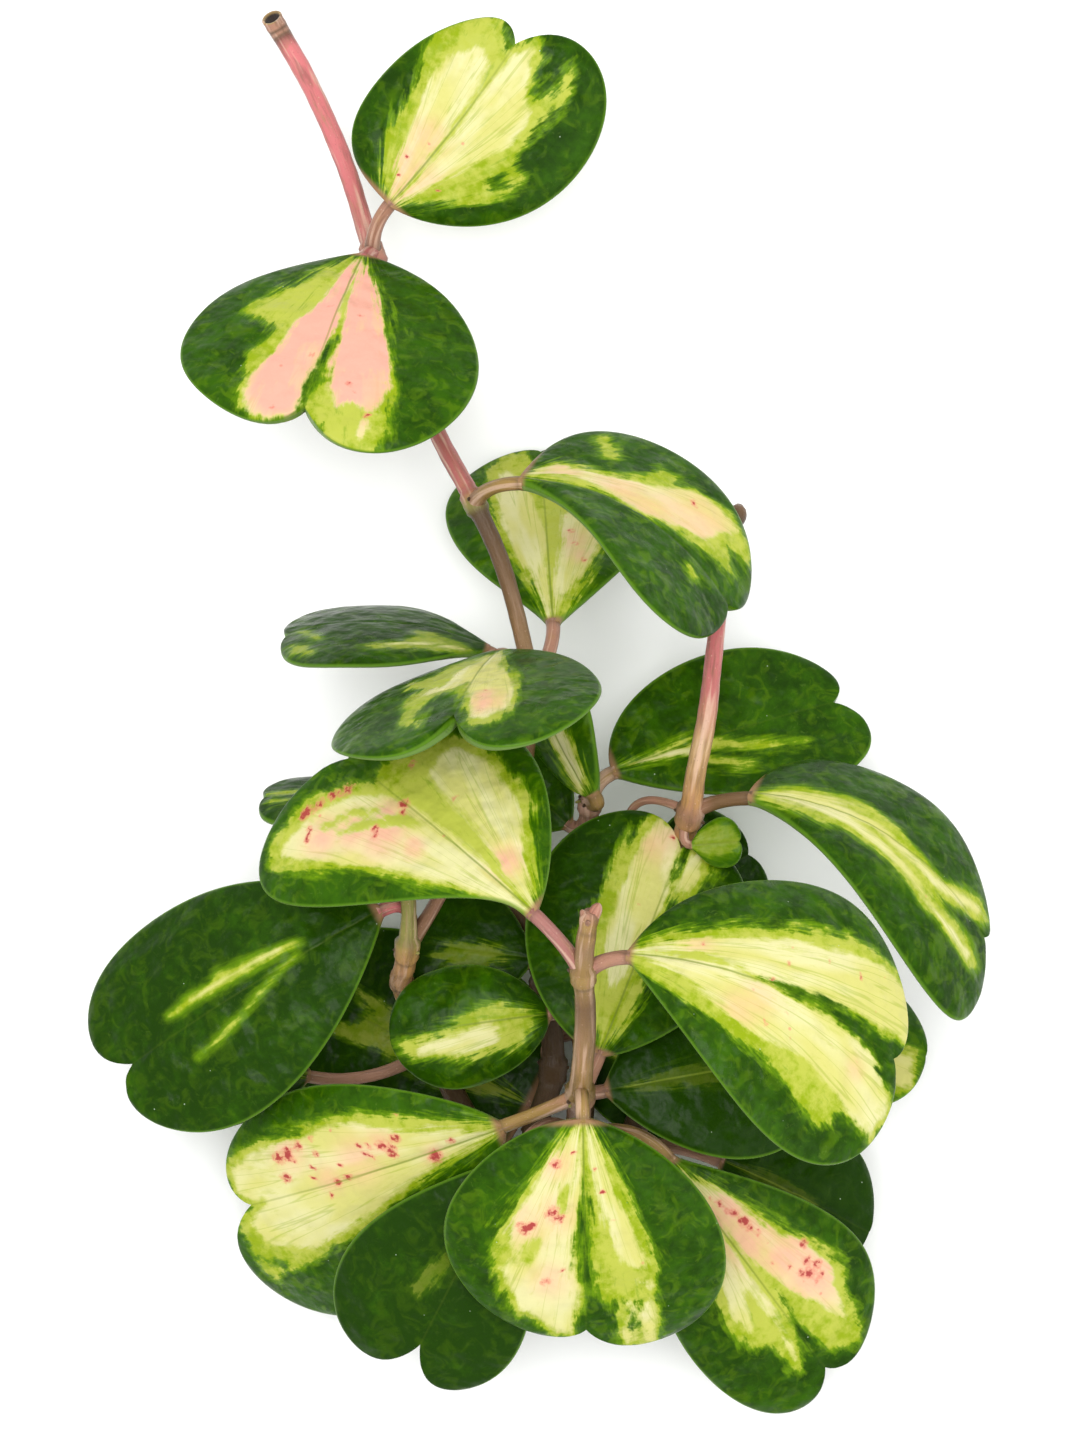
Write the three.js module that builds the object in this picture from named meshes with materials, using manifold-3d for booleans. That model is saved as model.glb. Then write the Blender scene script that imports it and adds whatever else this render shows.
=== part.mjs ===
// A cut sweetheart hoya, inner variegated, lying on its back: shoots from one crown, and thick heart leaves.
// Millimetres, +Z up. The plant rests on Z = 0. X runs to the right and Y up the vine, as seen from above.
import * as THREE from "three";
import { mergeVertices } from "three/addons/utils/BufferGeometryUtils.js";
import Module from "manifold-3d";

const wasm = await Module();
wasm.setup();

// Driving dimensions of the plant
const BLADE_THICKNESS = 3.4; // at the middle of a leaf, thinning to its rounded edge
const PETIOLE_RADIUS = 1.85;
const SEAT_GAP = 0.3; // between a blade and its petiole, and between a shoot and the crown
const NODE_SWELL = 1.1; // how far a stem's joint stands out of the stem
const NODE_SPAN = 2.8; // how far along the stem that swelling reaches
const MIDDLE = [-0.85, 0.35]; // the plant's middle in the tables' X and Y: it comes to lie over the origin

// Mesh steps
const BLADE_ROWS = 11;
const BLADE_STATIONS = [1, 0.86, 0.5, 0, -0.5, -0.86, -1]; // across a blade, right edge to left
const STEM_SIDES = 8;
const STEM_STEP = 8;
const PETIOLE_SIDES = 6;
const PETIOLE_STEPS = 5;

const LEAF_GREEN = new THREE.MeshStandardMaterial({ color: 0x3c7a24, roughness: 0.42, metalness: 0 });
const LEAF_CREAM = new THREE.MeshStandardMaterial({ color: 0xdfe08a, roughness: 0.42, metalness: 0 });
const STEM_BROWN = new THREE.MeshStandardMaterial({ color: 0xa87a5c, roughness: 0.55, metalness: 0 });

// Shoots: points are [x, y, z, radius], and joints are the places where leaves grow
const SHOOTS = {
  stem_crown: {
    points: [
      [7, -141, 7, 6], [8, -128, 8, 6.2], [8, -115, 12, 6], [8, -108, 18, 5.2],
    ],
    joints: {},
  },
  stem_front: {
    points: [
      [8, -112, 16, 3.3], [8.8, -104, 40, 3.1], [9.4, -92, 70, 2.9], [9.8, -86, 79, 2.7],
      [10.5, -77, 86, 2.6], [10.5, -69, 92.5, 2.5], [10, -62, 98.5, 2.4], [10.4, -55.3, 105, 2.3],
      [11.6, -47, 111, 2.3],
    ],
    joints: {
      front_base: [8.8, -104, 38],
      front_low: [9.4, -92, 70],
      front_high: [10, -62, 98.5],
    },
  },
  stem_long_vine: {
    points: [
      [3, -120, 10, 3], [-1, -104, 17, 2.9], [3, -88, 25, 2.8], [0, -64, 29, 2.8], [-8, -38, 36, 2.6],
      [-4, -10, 47, 2.4], [-2.5, 6, 51, 2.2], [-4.3, 17, 53, 2], [-9.7, 36.5, 54, 2.1],
      [-16, 50.5, 53, 2.2], [-25.4, 68.3, 42.5, 2.2], [-33.4, 90, 33, 2.3], [-41.3, 112.5, 26, 2.3],
      [-48.4, 135.2, 20, 2.3], [-57.5, 155.9, 15, 2.3], [-66.9, 172.5, 10, 2.5],
    ],
    joints: {
      vine_root: [-1, -104, 17],
      vine_bend: [3, -88, 25],
      vine_inner: [1, -68, 28],
      vine_low: [-2.2, 6, 51],
      vine_mid: [-16, 50.5, 53],
      vine_high: [-41.3, 112.5, 26],
    },
  },
  stem_right_vine: {
    points: [
      [10, -129, 8, 3.2], [20, -112, 13, 3.1], [27, -90, 17.5, 3], [31, -62, 22, 3], [33, -43, 26, 3],
      [34.2, -33.5, 38, 2.9], [36.4, -24, 51, 2.7], [37.5, -14.9, 56.5, 2.5], [40, -2.3, 57.5, 2.4],
      [42, 14, 54, 2.1], [44.5, 34, 48, 1.9], [48.5, 50.5, 42, 1.7],
    ],
    joints: {
      right_low: [21.3, -108, 13.8],
      right_mid: [31, -62, 22],
      right_high: [36.4, -24.5, 50],
    },
  },
  stem_left: {
    points: [
      [5, -132, 7.5, 3], [-8, -118, 12, 3], [-18, -101, 18.5, 2.9], [-27, -83, 24, 2.8],
      [-33, -70, 34, 2.7], [-34, -64.8, 45, 2.6], [-33, -61.5, 53.5, 2.6], [-32.3, -57, 59, 2.3],
      [-31.9, -49, 61.5, 1.9], [-32.5, -36, 62, 1.9],
    ],
    joints: {
      left_mid: [-32.3, -57, 59],
      left_stub: [-33.9, -66, 42],
      left_bend: [-27, -83, 24],
    },
  },
  stem_back: {
    points: [
      [9, -112, 12, 3], [11, -90, 17, 2.9], [12, -60, 21, 2.8], [11, -38, 28, 2.5], [12, -22, 35, 2.3],
    ],
    joints: {
      back_high: [12, -22, 35],
      back_mid: [12, -62, 20.7],
    },
  },
};

// Leaves: base is [x, y, z] and angles are in degrees. Heading and pitch are those of the line from base to
// notch: heading turns anticlockwise from +X and pitch climbs. Roll lifts the right half, arch bends the tip
// down, cup bends both halves down, and sweep curves the midrib to the left. Skew widens the right half and
// lean lengthens it. Taper narrows the blade towards its base. Bias adds to it on the right half and takes
// from it on the left one.
const LEAVES = [
  {
    name: "leaf_top_upper", joint: "vine_high", cream: true,
    base: [-37, 124.5, 34], heading: 51.5, pitch: 6,
    length: 59, width: 54, arch: 20, cup: 18, skew: 0.16, lean: 0.2, notch: 0.155, taper: -0.05,
    bias: 0.35, sweep: 12,
  },
  {
    name: "leaf_top_pink", joint: "vine_high",
    base: [-43.5, 111, 34], heading: -109, pitch: 44, roll: -14,
    length: 67.5, width: 74, arch: 30, cup: 12, skew: -0.03, lean: -0.17, notch: 0.16, taper: 0.35,
    bias: 0.1,
  },
  {
    name: "leaf_mid_back", joint: "vine_low", cream: true, rests: true,
    base: [3, 21, 46], heading: 94, pitch: -46,
    length: 65, width: 54, arch: 10, cup: 15, skew: 0.08, taper: 1.05, notch: 0.05,
  },
  {
    name: "leaf_mid_arched", joint: "vine_mid",
    base: [-5, 55, 66], heading: -31.5, pitch: 4, roll: 56,
    length: 66.5, width: 57, arch: 72, cup: -8, skew: -0.06, lean: -0.1, taper: 0.6, bias: 1, sweep: -12,
  },
  {
    name: "leaf_side_left", joint: "vine_low",
    base: [-13, 14.5, 50], heading: 176, pitch: 0, roll: -73,
    length: 53, width: 53, arch: 45, cup: 10,
  },
  {
    name: "leaf_saddle", joint: "vine_low",
    base: [-10, 13.5, 64], heading: -123, pitch: 65, roll: -44,
    length: 63, width: 67.5, arch: 20, cup: 10, notch: 0.3, taper: 0.4, lean: -0.1,
  },
  {
    name: "leaf_right_back", joint: "back_high",
    base: [17.5, -15, 35], heading: 17, pitch: -10, roll: 25,
    length: 65.5, width: 43, arch: 15, cup: -15, lean: 0.12, notch: 0.12, taper: 0.45, bias: 0.45,
  },
  {
    name: "leaf_right_arched", joint: "right_high",
    base: [50.5, -21, 56], heading: -31.5, pitch: 0, roll: 54,
    length: 76, width: 53, arch: 75, cup: 5, skew: 0.08, lean: 0.4, taper: 0.53, bias: 0.78, sweep: -15,
  },
  {
    name: "leaf_inner_cream", joint: "back_high",
    base: [13, -20.5, 42], heading: 117, pitch: -5, roll: 42,
    length: 36, width: 23, arch: 20, cup: 15,
  },
  {
    name: "leaf_inner_small", joint: "back_high",
    base: [7, -28, 29], heading: 138, pitch: -12,
    length: 33, width: 29, arch: 20, cup: 15,
  },
  {
    name: "leaf_left_back", joint: "left_mid",
    base: [-28, -22.5, 50], heading: 179, pitch: -5, roll: -66,
    length: 42, width: 30, arch: 20, cup: 10,
  },
  {
    name: "leaf_left_large", joint: "front_high", cream: true,
    base: [-1.5, -48, 102], heading: 141, pitch: -30, roll: -12,
    length: 71, width: 69, arch: 25, cup: 20, skew: -0.09, lean: -0.2, notch: 0.065, taper: 1.5, bias: -1,
  },
  {
    name: "leaf_centre_cream", joint: "front_low", cream: true,
    base: [14, -83, 62], heading: 68, pitch: -18,
    length: 64, width: 54, arch: 10, cup: 12, skew: -0.12, lean: -0.1, notch: 0.13, taper: 0.35, bias: 0.2,
  },
  {
    name: "leaf_right_large", joint: "front_high", cream: true,
    base: [20.5, -58, 102], heading: -21.6, pitch: -6, roll: 32,
    length: 77, width: 69, arch: 66, cup: 20, sweep: -15, lean: 0.2, taper: 0.7, bias: 0.3,
  },
  {
    name: "leaf_right_low_back", joint: "right_mid",
    base: [47.5, -73, 32], heading: -15, pitch: -8, roll: 30,
    length: 50, width: 36, arch: 20, cup: 10, notch: 0.02,
  },
  {
    name: "leaf_left_dark", joint: "left_stub",
    base: [-38.5, -48, 60], heading: -148, pitch: -12, roll: -15,
    length: 84, width: 57, arch: 25, cup: 20, taper: 0.6, bias: -0.1, lean: 0.08, skew: 0.05, notch: 0.125,
  },
  {
    name: "leaf_inner_left", joint: "vine_inner",
    base: [2, -73.5, 50], heading: -172, pitch: 0, roll: -5,
    length: 40, width: 31, arch: 40, cup: 25, notch: 0.02, taper: 0.3,
  },
  {
    name: "leaf_inner_shadow", joint: "vine_inner",
    base: [-2, -60.5, 41], heading: 172, pitch: -5, roll: -12,
    length: 30, width: 34, arch: 10, cup: 10,
  },
  {
    name: "leaf_rest_left", joint: "vine_root", rests: true,
    base: [-2.5, -97.5, 10.7], heading: 153, pitch: -7.8,
    length: 73, width: 56, arch: 15, cup: 10, taper: -0.4,
  },
  {
    name: "leaf_under_left", joint: "left_bend",
    base: [-57, -90, 24], heading: 168, pitch: 0,
    length: 40, width: 36, arch: 15, cup: 10, petiole: 1.7,
  },
  {
    name: "leaf_front_left", joint: "front_low", cream: true,
    base: [-9, -100, 63], heading: -161.5, pitch: -27, roll: 12,
    length: 85, width: 64, arch: 25, cup: 22, skew: -0.24, lean: -0.21, notch: 0.14,
  },
  {
    name: "leaf_bottom_green", joint: "front_base",
    base: [-6.5, -108, 65], heading: -116.5, pitch: -18,
    length: 67.5, width: 49, arch: 25, cup: 15, skew: 0.1, notch: 0.21, taper: 0.9,
  },
  {
    name: "leaf_front", joint: "front_low",
    base: [10, -97, 83], heading: -89, pitch: -24,
    length: 65.5, width: 69, arch: 40, cup: 18, lean: -0.22, taper: 0.25, bias: -0.15, notch: 0.13,
  },
  {
    name: "leaf_bottom_right", joint: "front_base",
    base: [31, -108.5, 50], heading: -53.6, pitch: -20,
    length: 78, width: 51.5, arch: 25, cup: 20, lean: 0.17, notch: 0.11, taper: 0.75, bias: -0.25,
  },
  {
    name: "leaf_low_right_dark", joint: "right_low",
    base: [44, -110.5, 28], heading: -27, pitch: -12, roll: 20,
    length: 42.5, width: 39, arch: 20, cup: 10, notch: 0.02,
  },
  {
    name: "leaf_under_right", joint: "front_low",
    base: [15.5, -92, 54], heading: 9, pitch: -9, roll: 10,
    length: 55, width: 47, arch: 20, cup: 10, skew: -0.05,
  },
  {
    name: "leaf_young", joint: "right_high",
    base: [36.8, -32.5, 49], heading: 5, pitch: 5,
    length: 12.5, width: 12.5, arch: 20, cup: 10, petiole: 1.2,
  },
  {
    name: "leaf_young_hidden", joint: "right_high",
    base: [21, -27.5, 37], heading: -95, pitch: -15,
    length: 18, width: 11, arch: 20, cup: 10, petiole: 1.1,
  },
  {
    name: "leaf_centre_back", joint: "back_mid",
    base: [26, -50, 15], heading: 30, pitch: 0,
    length: 32, width: 35, arch: 10, cup: 10,
  },
  {
    name: "leaf_rest_right", joint: "vine_bend", rests: true,
    base: [7.5, -80, 10.2], heading: 5.2, pitch: -7.1,
    length: 74.5, width: 60, arch: 15, cup: 10, taper: -0.3,
  },
];

const LEAF_DEFAULTS = { roll: 0, sweep: 0, skew: 0, lean: 0, notch: 0.09, taper: 0.6, bias: 0, wave: 0.4 };
const NOTCH_SPREAD = 0.1; // how far from the midrib the notch reaches, in leaf widths
const BASE_SHARE = 0.9; // half the width of a blade's base, in petiole radii
const BASE_ANGLE = 0.3; // the petiole aims at the midrib's point at this angle
const WAVES = 5; // of a blade's edge, in radians over half its outline's turn
const SIDE_SHIFT = 2; // between the waves of its two edges

const place = ([x, y, z]) => new THREE.Vector3(x - MIDDLE[0], y - MIDDLE[1], z);

// A closed surface through rings of points, with a point to close each end
function closedSurface(rings, startPoint, endPoint) {
  const sides = rings[0].length;
  const corners = [startPoint, ...rings.flat(), endPoint];
  const last = corners.length - 1;
  const at = (ring, side) => 1 + ring * sides + (side % sides);
  const triangles = [];
  for (let side = 0; side < sides; side++) {
    triangles.push(0, at(0, side + 1), at(0, side));
    for (let ring = 0; ring + 1 < rings.length; ring++) {
      triangles.push(at(ring, side), at(ring, side + 1), at(ring + 1, side + 1));
      triangles.push(at(ring, side), at(ring + 1, side + 1), at(ring + 1, side));
    }
    triangles.push(last, at(rings.length - 1, side), at(rings.length - 1, side + 1));
  }
  return new THREE.BufferGeometry().setFromPoints(corners).setIndex(triangles);
}

// Half the width of a blade at angle around 0 (base) to PI (notch)
function halfWidth(leaf, around, side) {
  const taper = leaf.taper + side * leaf.bias;
  const most = 2 * ((taper + 1) / (taper + 2)) ** ((taper + 1) / 2) / Math.sqrt(taper + 2);
  const heart = (leaf.width * Math.cos(around / 2) * Math.sin(around / 2) ** (taper + 1)) / most;
  return Math.hypot(heart, (leaf.petiole ?? PETIOLE_RADIUS) * BASE_SHARE * Math.cos(around / 2));
}

// Along and sideways travel of a line that bends evenly by turn degrees over reach
function bend(distance, turn, reach) {
  const angle = (THREE.MathUtils.degToRad(turn) * distance) / reach;
  if (Math.abs(angle) < 1e-6) return { along: distance, aside: 0, angle: 0 };
  const along = (Math.sin(angle) / angle) * distance;
  const aside = ((1 - Math.cos(angle)) / angle) * distance;
  return { along, aside, angle };
}

// A point of a blade: around runs from base (0) to notch (PI), across from -1 (left edge) to 1 (right
// edge), and face is 1 on the upper face and -1 on the lower one
function bladePoint(leaf, around, across, face) {
  const side = Math.sign(across);
  const rise = (1 - Math.cos(around)) / 2;
  const flatX = across * halfWidth(leaf, around, side) * (1 + side * leaf.skew);
  const dip = 1 - leaf.notch * Math.exp(-Math.abs(flatX) / (NOTCH_SPREAD * leaf.width));
  const flatY = leaf.length * rise * dip * (1 + (leaf.lean * rise * flatX) / leaf.width);

  const ripple = leaf.wave * across * across * Math.sin(WAVES * around + SIDE_SHIFT * side);
  const level = (face * BLADE_THICKNESS * Math.sqrt(1 - across ** 4)) / 2 + ripple;
  const cross = bend(Math.abs(flatX), leaf.cup, leaf.width / 2);
  const lateral = side * (cross.along + level * Math.sin(cross.angle));
  const height = level * Math.cos(cross.angle) - cross.aside;

  const spine = bend(flatY, leaf.arch, leaf.length);
  const forward = spine.along + height * Math.sin(spine.angle);
  const swept = bend(forward, leaf.sweep, leaf.length);
  return new THREE.Vector3(
    lateral * Math.cos(swept.angle) - swept.aside,
    swept.along + lateral * Math.sin(swept.angle),
    height * Math.cos(spine.angle) - spine.aside,
  );
}

// Turns a leaf's own axes (x right, y along its base-to-notch line, z out of its upper face) into the plant's
function leafTurn(leaf) {
  const rad = THREE.MathUtils.degToRad;
  const chord = new THREE.Quaternion().setFromUnitVectors(
    bladePoint(leaf, Math.PI, 0, 0).normalize(),
    new THREE.Vector3(0, 1, 0),
  );
  const roll = new THREE.Quaternion().setFromAxisAngle(new THREE.Vector3(0, 1, 0), -rad(leaf.roll));
  const pitch = new THREE.Quaternion().setFromAxisAngle(new THREE.Vector3(1, 0, 0), rad(leaf.pitch));
  const heading = new THREE.Quaternion().setFromAxisAngle(new THREE.Vector3(0, 0, 1), rad(leaf.heading - 90));
  return heading.multiply(pitch).multiply(roll).multiply(chord);
}

function bladeGeometry(leaf) {
  const upper = BLADE_STATIONS.slice(1, -1);
  const loop = [
    [1, 0],
    ...upper.map((across) => [across, -1]),
    [-1, 0],
    ...upper.toReversed().map((across) => [across, 1]),
  ];
  const rings = [];
  for (let row = 0; row < BLADE_ROWS; row++) {
    const around = (Math.PI * row) / BLADE_ROWS;
    rings.push(loop.map(([across, face]) => bladePoint(leaf, around, across, face)));
  }
  return closedSurface(rings, bladePoint(leaf, 0, 0, 0), bladePoint(leaf, Math.PI, 0, 0));
}

// A closed tube along a curve, with its radius given at each share of the length
function tubeGeometry(curve, steps, sides, radiusAt) {
  const frames = curve.computeFrenetFrames(steps, false);
  const rings = [];
  for (let step = 0; step <= steps; step++) {
    const centre = curve.getPointAt(step / steps);
    const radius = radiusAt(step / steps);
    const ring = [];
    for (let side = 0; side < sides; side++) {
      const angle = (2 * Math.PI * side) / sides;
      ring.push(
        centre
          .clone()
          .addScaledVector(frames.normals[step], radius * Math.cos(angle))
          .addScaledVector(frames.binormals[step], radius * Math.sin(angle)),
      );
    }
    rings.push(ring);
  }
  return closedSurface(rings, curve.getPointAt(0), curve.getPointAt(1));
}

function toSolid(geometry) {
  const bare = new THREE.BufferGeometry().setAttribute("position", geometry.getAttribute("position"));
  bare.setIndex(geometry.index);
  const merged = mergeVertices(bare, 1e-4);
  return new wasm.Manifold(
    new wasm.Mesh({
      numProp: 3,
      vertProperties: new Float32Array(merged.getAttribute("position").array),
      triVerts: new Uint32Array(merged.index.array),
    }),
  );
}

function toGeometry(solid) {
  const mesh = solid.getMesh();
  return new THREE.BufferGeometry()
    .setAttribute("position", new THREE.BufferAttribute(mesh.vertProperties, 3))
    .setIndex(new THREE.BufferAttribute(mesh.triVerts, 1));
}

// The blade with what would reach below the surface at Z = 0 trimmed off flat
function flattenAtSurface(blade) {
  blade.updateMatrix();
  const placed = toSolid(blade.geometry.clone().applyMatrix4(blade.matrix));
  return toGeometry(placed.trimByPlane([0, 0, 1], 0)).applyMatrix4(blade.matrix.clone().invert());
}

// A shoot's stem, with a swelling at each joint; grow widens it, to cut a neighbour clear
function stemSolid(shoot, grow = 0) {
  const curve = new THREE.CatmullRomCurve3(shoot.points.map(place), false, "centripetal");
  const steps = Math.ceil(curve.getLength() / STEM_STEP);
  const joints = Object.values(shoot.joints).map(place);
  const radiusAt = (share) => {
    const here = curve.getPointAt(share);
    const along = curve.getUtoTmapping(share) * (shoot.points.length - 1);
    const before = Math.min(Math.floor(along), shoot.points.length - 2);
    const [near, far] = [shoot.points[before][3], shoot.points[before + 1][3]];
    const swells = joints.map((joint) => Math.exp(-((joint.distanceTo(here) / NODE_SPAN) ** 2)));
    const swell = swells.reduce((sum, one) => sum + one, 0);
    return THREE.MathUtils.lerp(near, far, along - before) + NODE_SWELL * swell + grow;
  };
  return toSolid(tubeGeometry(curve, steps, STEM_SIDES, radiusAt));
}

// The petiole runs from its joint and meets the blade along the midrib
function petioleSolid(leaf, jointPoint) {
  const forward = bladePoint(leaf, BASE_ANGLE, 0, 0).normalize().applyQuaternion(leafTurn(leaf));
  const end = place(leaf.base).addScaledVector(forward, -SEAT_GAP);
  const elbow = end.clone().addScaledVector(forward, -end.distanceTo(jointPoint) / 2);
  const curve = new THREE.QuadraticBezierCurve3(jointPoint, elbow, end);
  return toSolid(tubeGeometry(curve, PETIOLE_STEPS, PETIOLE_SIDES, () => leaf.petiole ?? PETIOLE_RADIUS));
}

const plant = new THREE.Group();
const crown = stemSolid(SHOOTS.stem_crown);
const crownCutter = stemSolid(SHOOTS.stem_crown, SEAT_GAP);

for (const [name, shoot] of Object.entries(SHOOTS)) {
  let solid = name === "stem_crown" ? crown : stemSolid(shoot);
  for (const leaf of LEAVES.filter((one) => one.joint in shoot.joints)) {
    solid = solid.add(petioleSolid({ ...LEAF_DEFAULTS, ...leaf }, place(shoot.joints[leaf.joint])));
  }
  if (name !== "stem_crown") solid = solid.subtract(crownCutter);
  const stem = new THREE.Mesh(toGeometry(solid), STEM_BROWN);
  stem.name = name;
  plant.add(stem);
}

for (const row of LEAVES) {
  const leaf = { ...LEAF_DEFAULTS, ...row };
  const blade = new THREE.Mesh(bladeGeometry(leaf), leaf.cream ? LEAF_CREAM : LEAF_GREEN);
  blade.name = leaf.name;
  blade.quaternion.copy(leafTurn(leaf));
  blade.position.copy(place(leaf.base));
  if (leaf.rests) blade.geometry = flattenAtSurface(blade);
  plant.add(blade);
}

export default plant;
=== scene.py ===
"""An inner variegated sweetheart hoya, cut and lying on its back, seen from straight above."""

import math

import bpy
import numpy as np
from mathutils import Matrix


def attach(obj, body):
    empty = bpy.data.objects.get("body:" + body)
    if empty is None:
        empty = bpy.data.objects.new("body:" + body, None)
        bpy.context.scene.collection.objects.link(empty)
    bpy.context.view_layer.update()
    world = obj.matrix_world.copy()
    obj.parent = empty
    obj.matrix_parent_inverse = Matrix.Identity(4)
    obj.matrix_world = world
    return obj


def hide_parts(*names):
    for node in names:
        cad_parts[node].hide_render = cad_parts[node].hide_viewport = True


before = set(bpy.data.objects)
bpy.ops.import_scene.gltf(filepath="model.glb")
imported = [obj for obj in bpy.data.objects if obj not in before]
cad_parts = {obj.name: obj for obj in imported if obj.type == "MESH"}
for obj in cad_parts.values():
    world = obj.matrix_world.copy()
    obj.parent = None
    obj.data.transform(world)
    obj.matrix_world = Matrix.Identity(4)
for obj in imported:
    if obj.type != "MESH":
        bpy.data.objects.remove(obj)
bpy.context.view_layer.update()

MM = 0.001
AHEAD = np.array([0, 1.0, 0])
SMALL = 1e-9
STRAIGHT = 1e-6  # a bend of less than this, in radians, is none
UPRIGHT = 1e-3  # a sideways share of less than this is none

# Driving dimensions of the plant, in millimetres, as in the solids
BLADE_THICKNESS = 3.4
PETIOLE_RADIUS = 1.85
NODE_SWELL = 1.1
NODE_SPAN = 2.8
MIDDLE = np.array([-0.85, 0.35, 0.0])  # the plant's middle in the tables' X and Y
NOTCH_SPREAD = 0.1
BASE_SHARE = 0.9
BASE_ANGLE = 0.3
WAVES = 5
SIDE_SHIFT = 2

# Shoots: points are [x, y, z, radius], and joints are the places where leaves grow
SHOOTS = {
    "stem_crown": {
        "points": [
            [7, -141, 7, 6], [8, -128, 8, 6.2], [8, -115, 12, 6], [8, -108, 18, 5.2],
        ],
        "joints": {},
    },
    "stem_front": {
        "points": [
            [8, -112, 16, 3.3], [8.8, -104, 40, 3.1], [9.4, -92, 70, 2.9], [9.8, -86, 79, 2.7],
            [10.5, -77, 86, 2.6], [10.5, -69, 92.5, 2.5], [10, -62, 98.5, 2.4], [10.4, -55.3, 105, 2.3],
            [11.6, -47, 111, 2.3],
        ],
        "joints": {
            "front_base": [8.8, -104, 38],
            "front_low": [9.4, -92, 70],
            "front_high": [10, -62, 98.5],
        },
    },
    "stem_long_vine": {
        "points": [
            [3, -120, 10, 3], [-1, -104, 17, 2.9], [3, -88, 25, 2.8], [0, -64, 29, 2.8],
            [-8, -38, 36, 2.6], [-4, -10, 47, 2.4], [-2.5, 6, 51, 2.2], [-4.3, 17, 53, 2],
            [-9.7, 36.5, 54, 2.1], [-16, 50.5, 53, 2.2], [-25.4, 68.3, 42.5, 2.2], [-33.4, 90, 33, 2.3],
            [-41.3, 112.5, 26, 2.3], [-48.4, 135.2, 20, 2.3], [-57.5, 155.9, 15, 2.3],
            [-66.9, 172.5, 10, 2.5],
        ],
        "joints": {
            "vine_root": [-1, -104, 17],
            "vine_bend": [3, -88, 25],
            "vine_inner": [1, -68, 28],
            "vine_low": [-2.2, 6, 51],
            "vine_mid": [-16, 50.5, 53],
            "vine_high": [-41.3, 112.5, 26],
        },
    },
    "stem_right_vine": {
        "points": [
            [10, -129, 8, 3.2], [20, -112, 13, 3.1], [27, -90, 17.5, 3], [31, -62, 22, 3],
            [33, -43, 26, 3], [34.2, -33.5, 38, 2.9], [36.4, -24, 51, 2.7], [37.5, -14.9, 56.5, 2.5],
            [40, -2.3, 57.5, 2.4], [42, 14, 54, 2.1], [44.5, 34, 48, 1.9], [48.5, 50.5, 42, 1.7],
        ],
        "joints": {
            "right_low": [21.3, -108, 13.8],
            "right_mid": [31, -62, 22],
            "right_high": [36.4, -24.5, 50],
        },
    },
    "stem_left": {
        "points": [
            [5, -132, 7.5, 3], [-8, -118, 12, 3], [-18, -101, 18.5, 2.9], [-27, -83, 24, 2.8],
            [-33, -70, 34, 2.7], [-34, -64.8, 45, 2.6], [-33, -61.5, 53.5, 2.6], [-32.3, -57, 59, 2.3],
            [-31.9, -49, 61.5, 1.9], [-32.5, -36, 62, 1.9],
        ],
        "joints": {
            "left_mid": [-32.3, -57, 59],
            "left_stub": [-33.9, -66, 42],
            "left_bend": [-27, -83, 24],
        },
    },
    "stem_back": {
        "points": [
            [9, -112, 12, 3], [11, -90, 17, 2.9], [12, -60, 21, 2.8], [11, -38, 28, 2.5],
            [12, -22, 35, 2.3],
        ],
        "joints": {
            "back_high": [12, -22, 35],
            "back_mid": [12, -62, 20.7],
        },
    },
}

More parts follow.
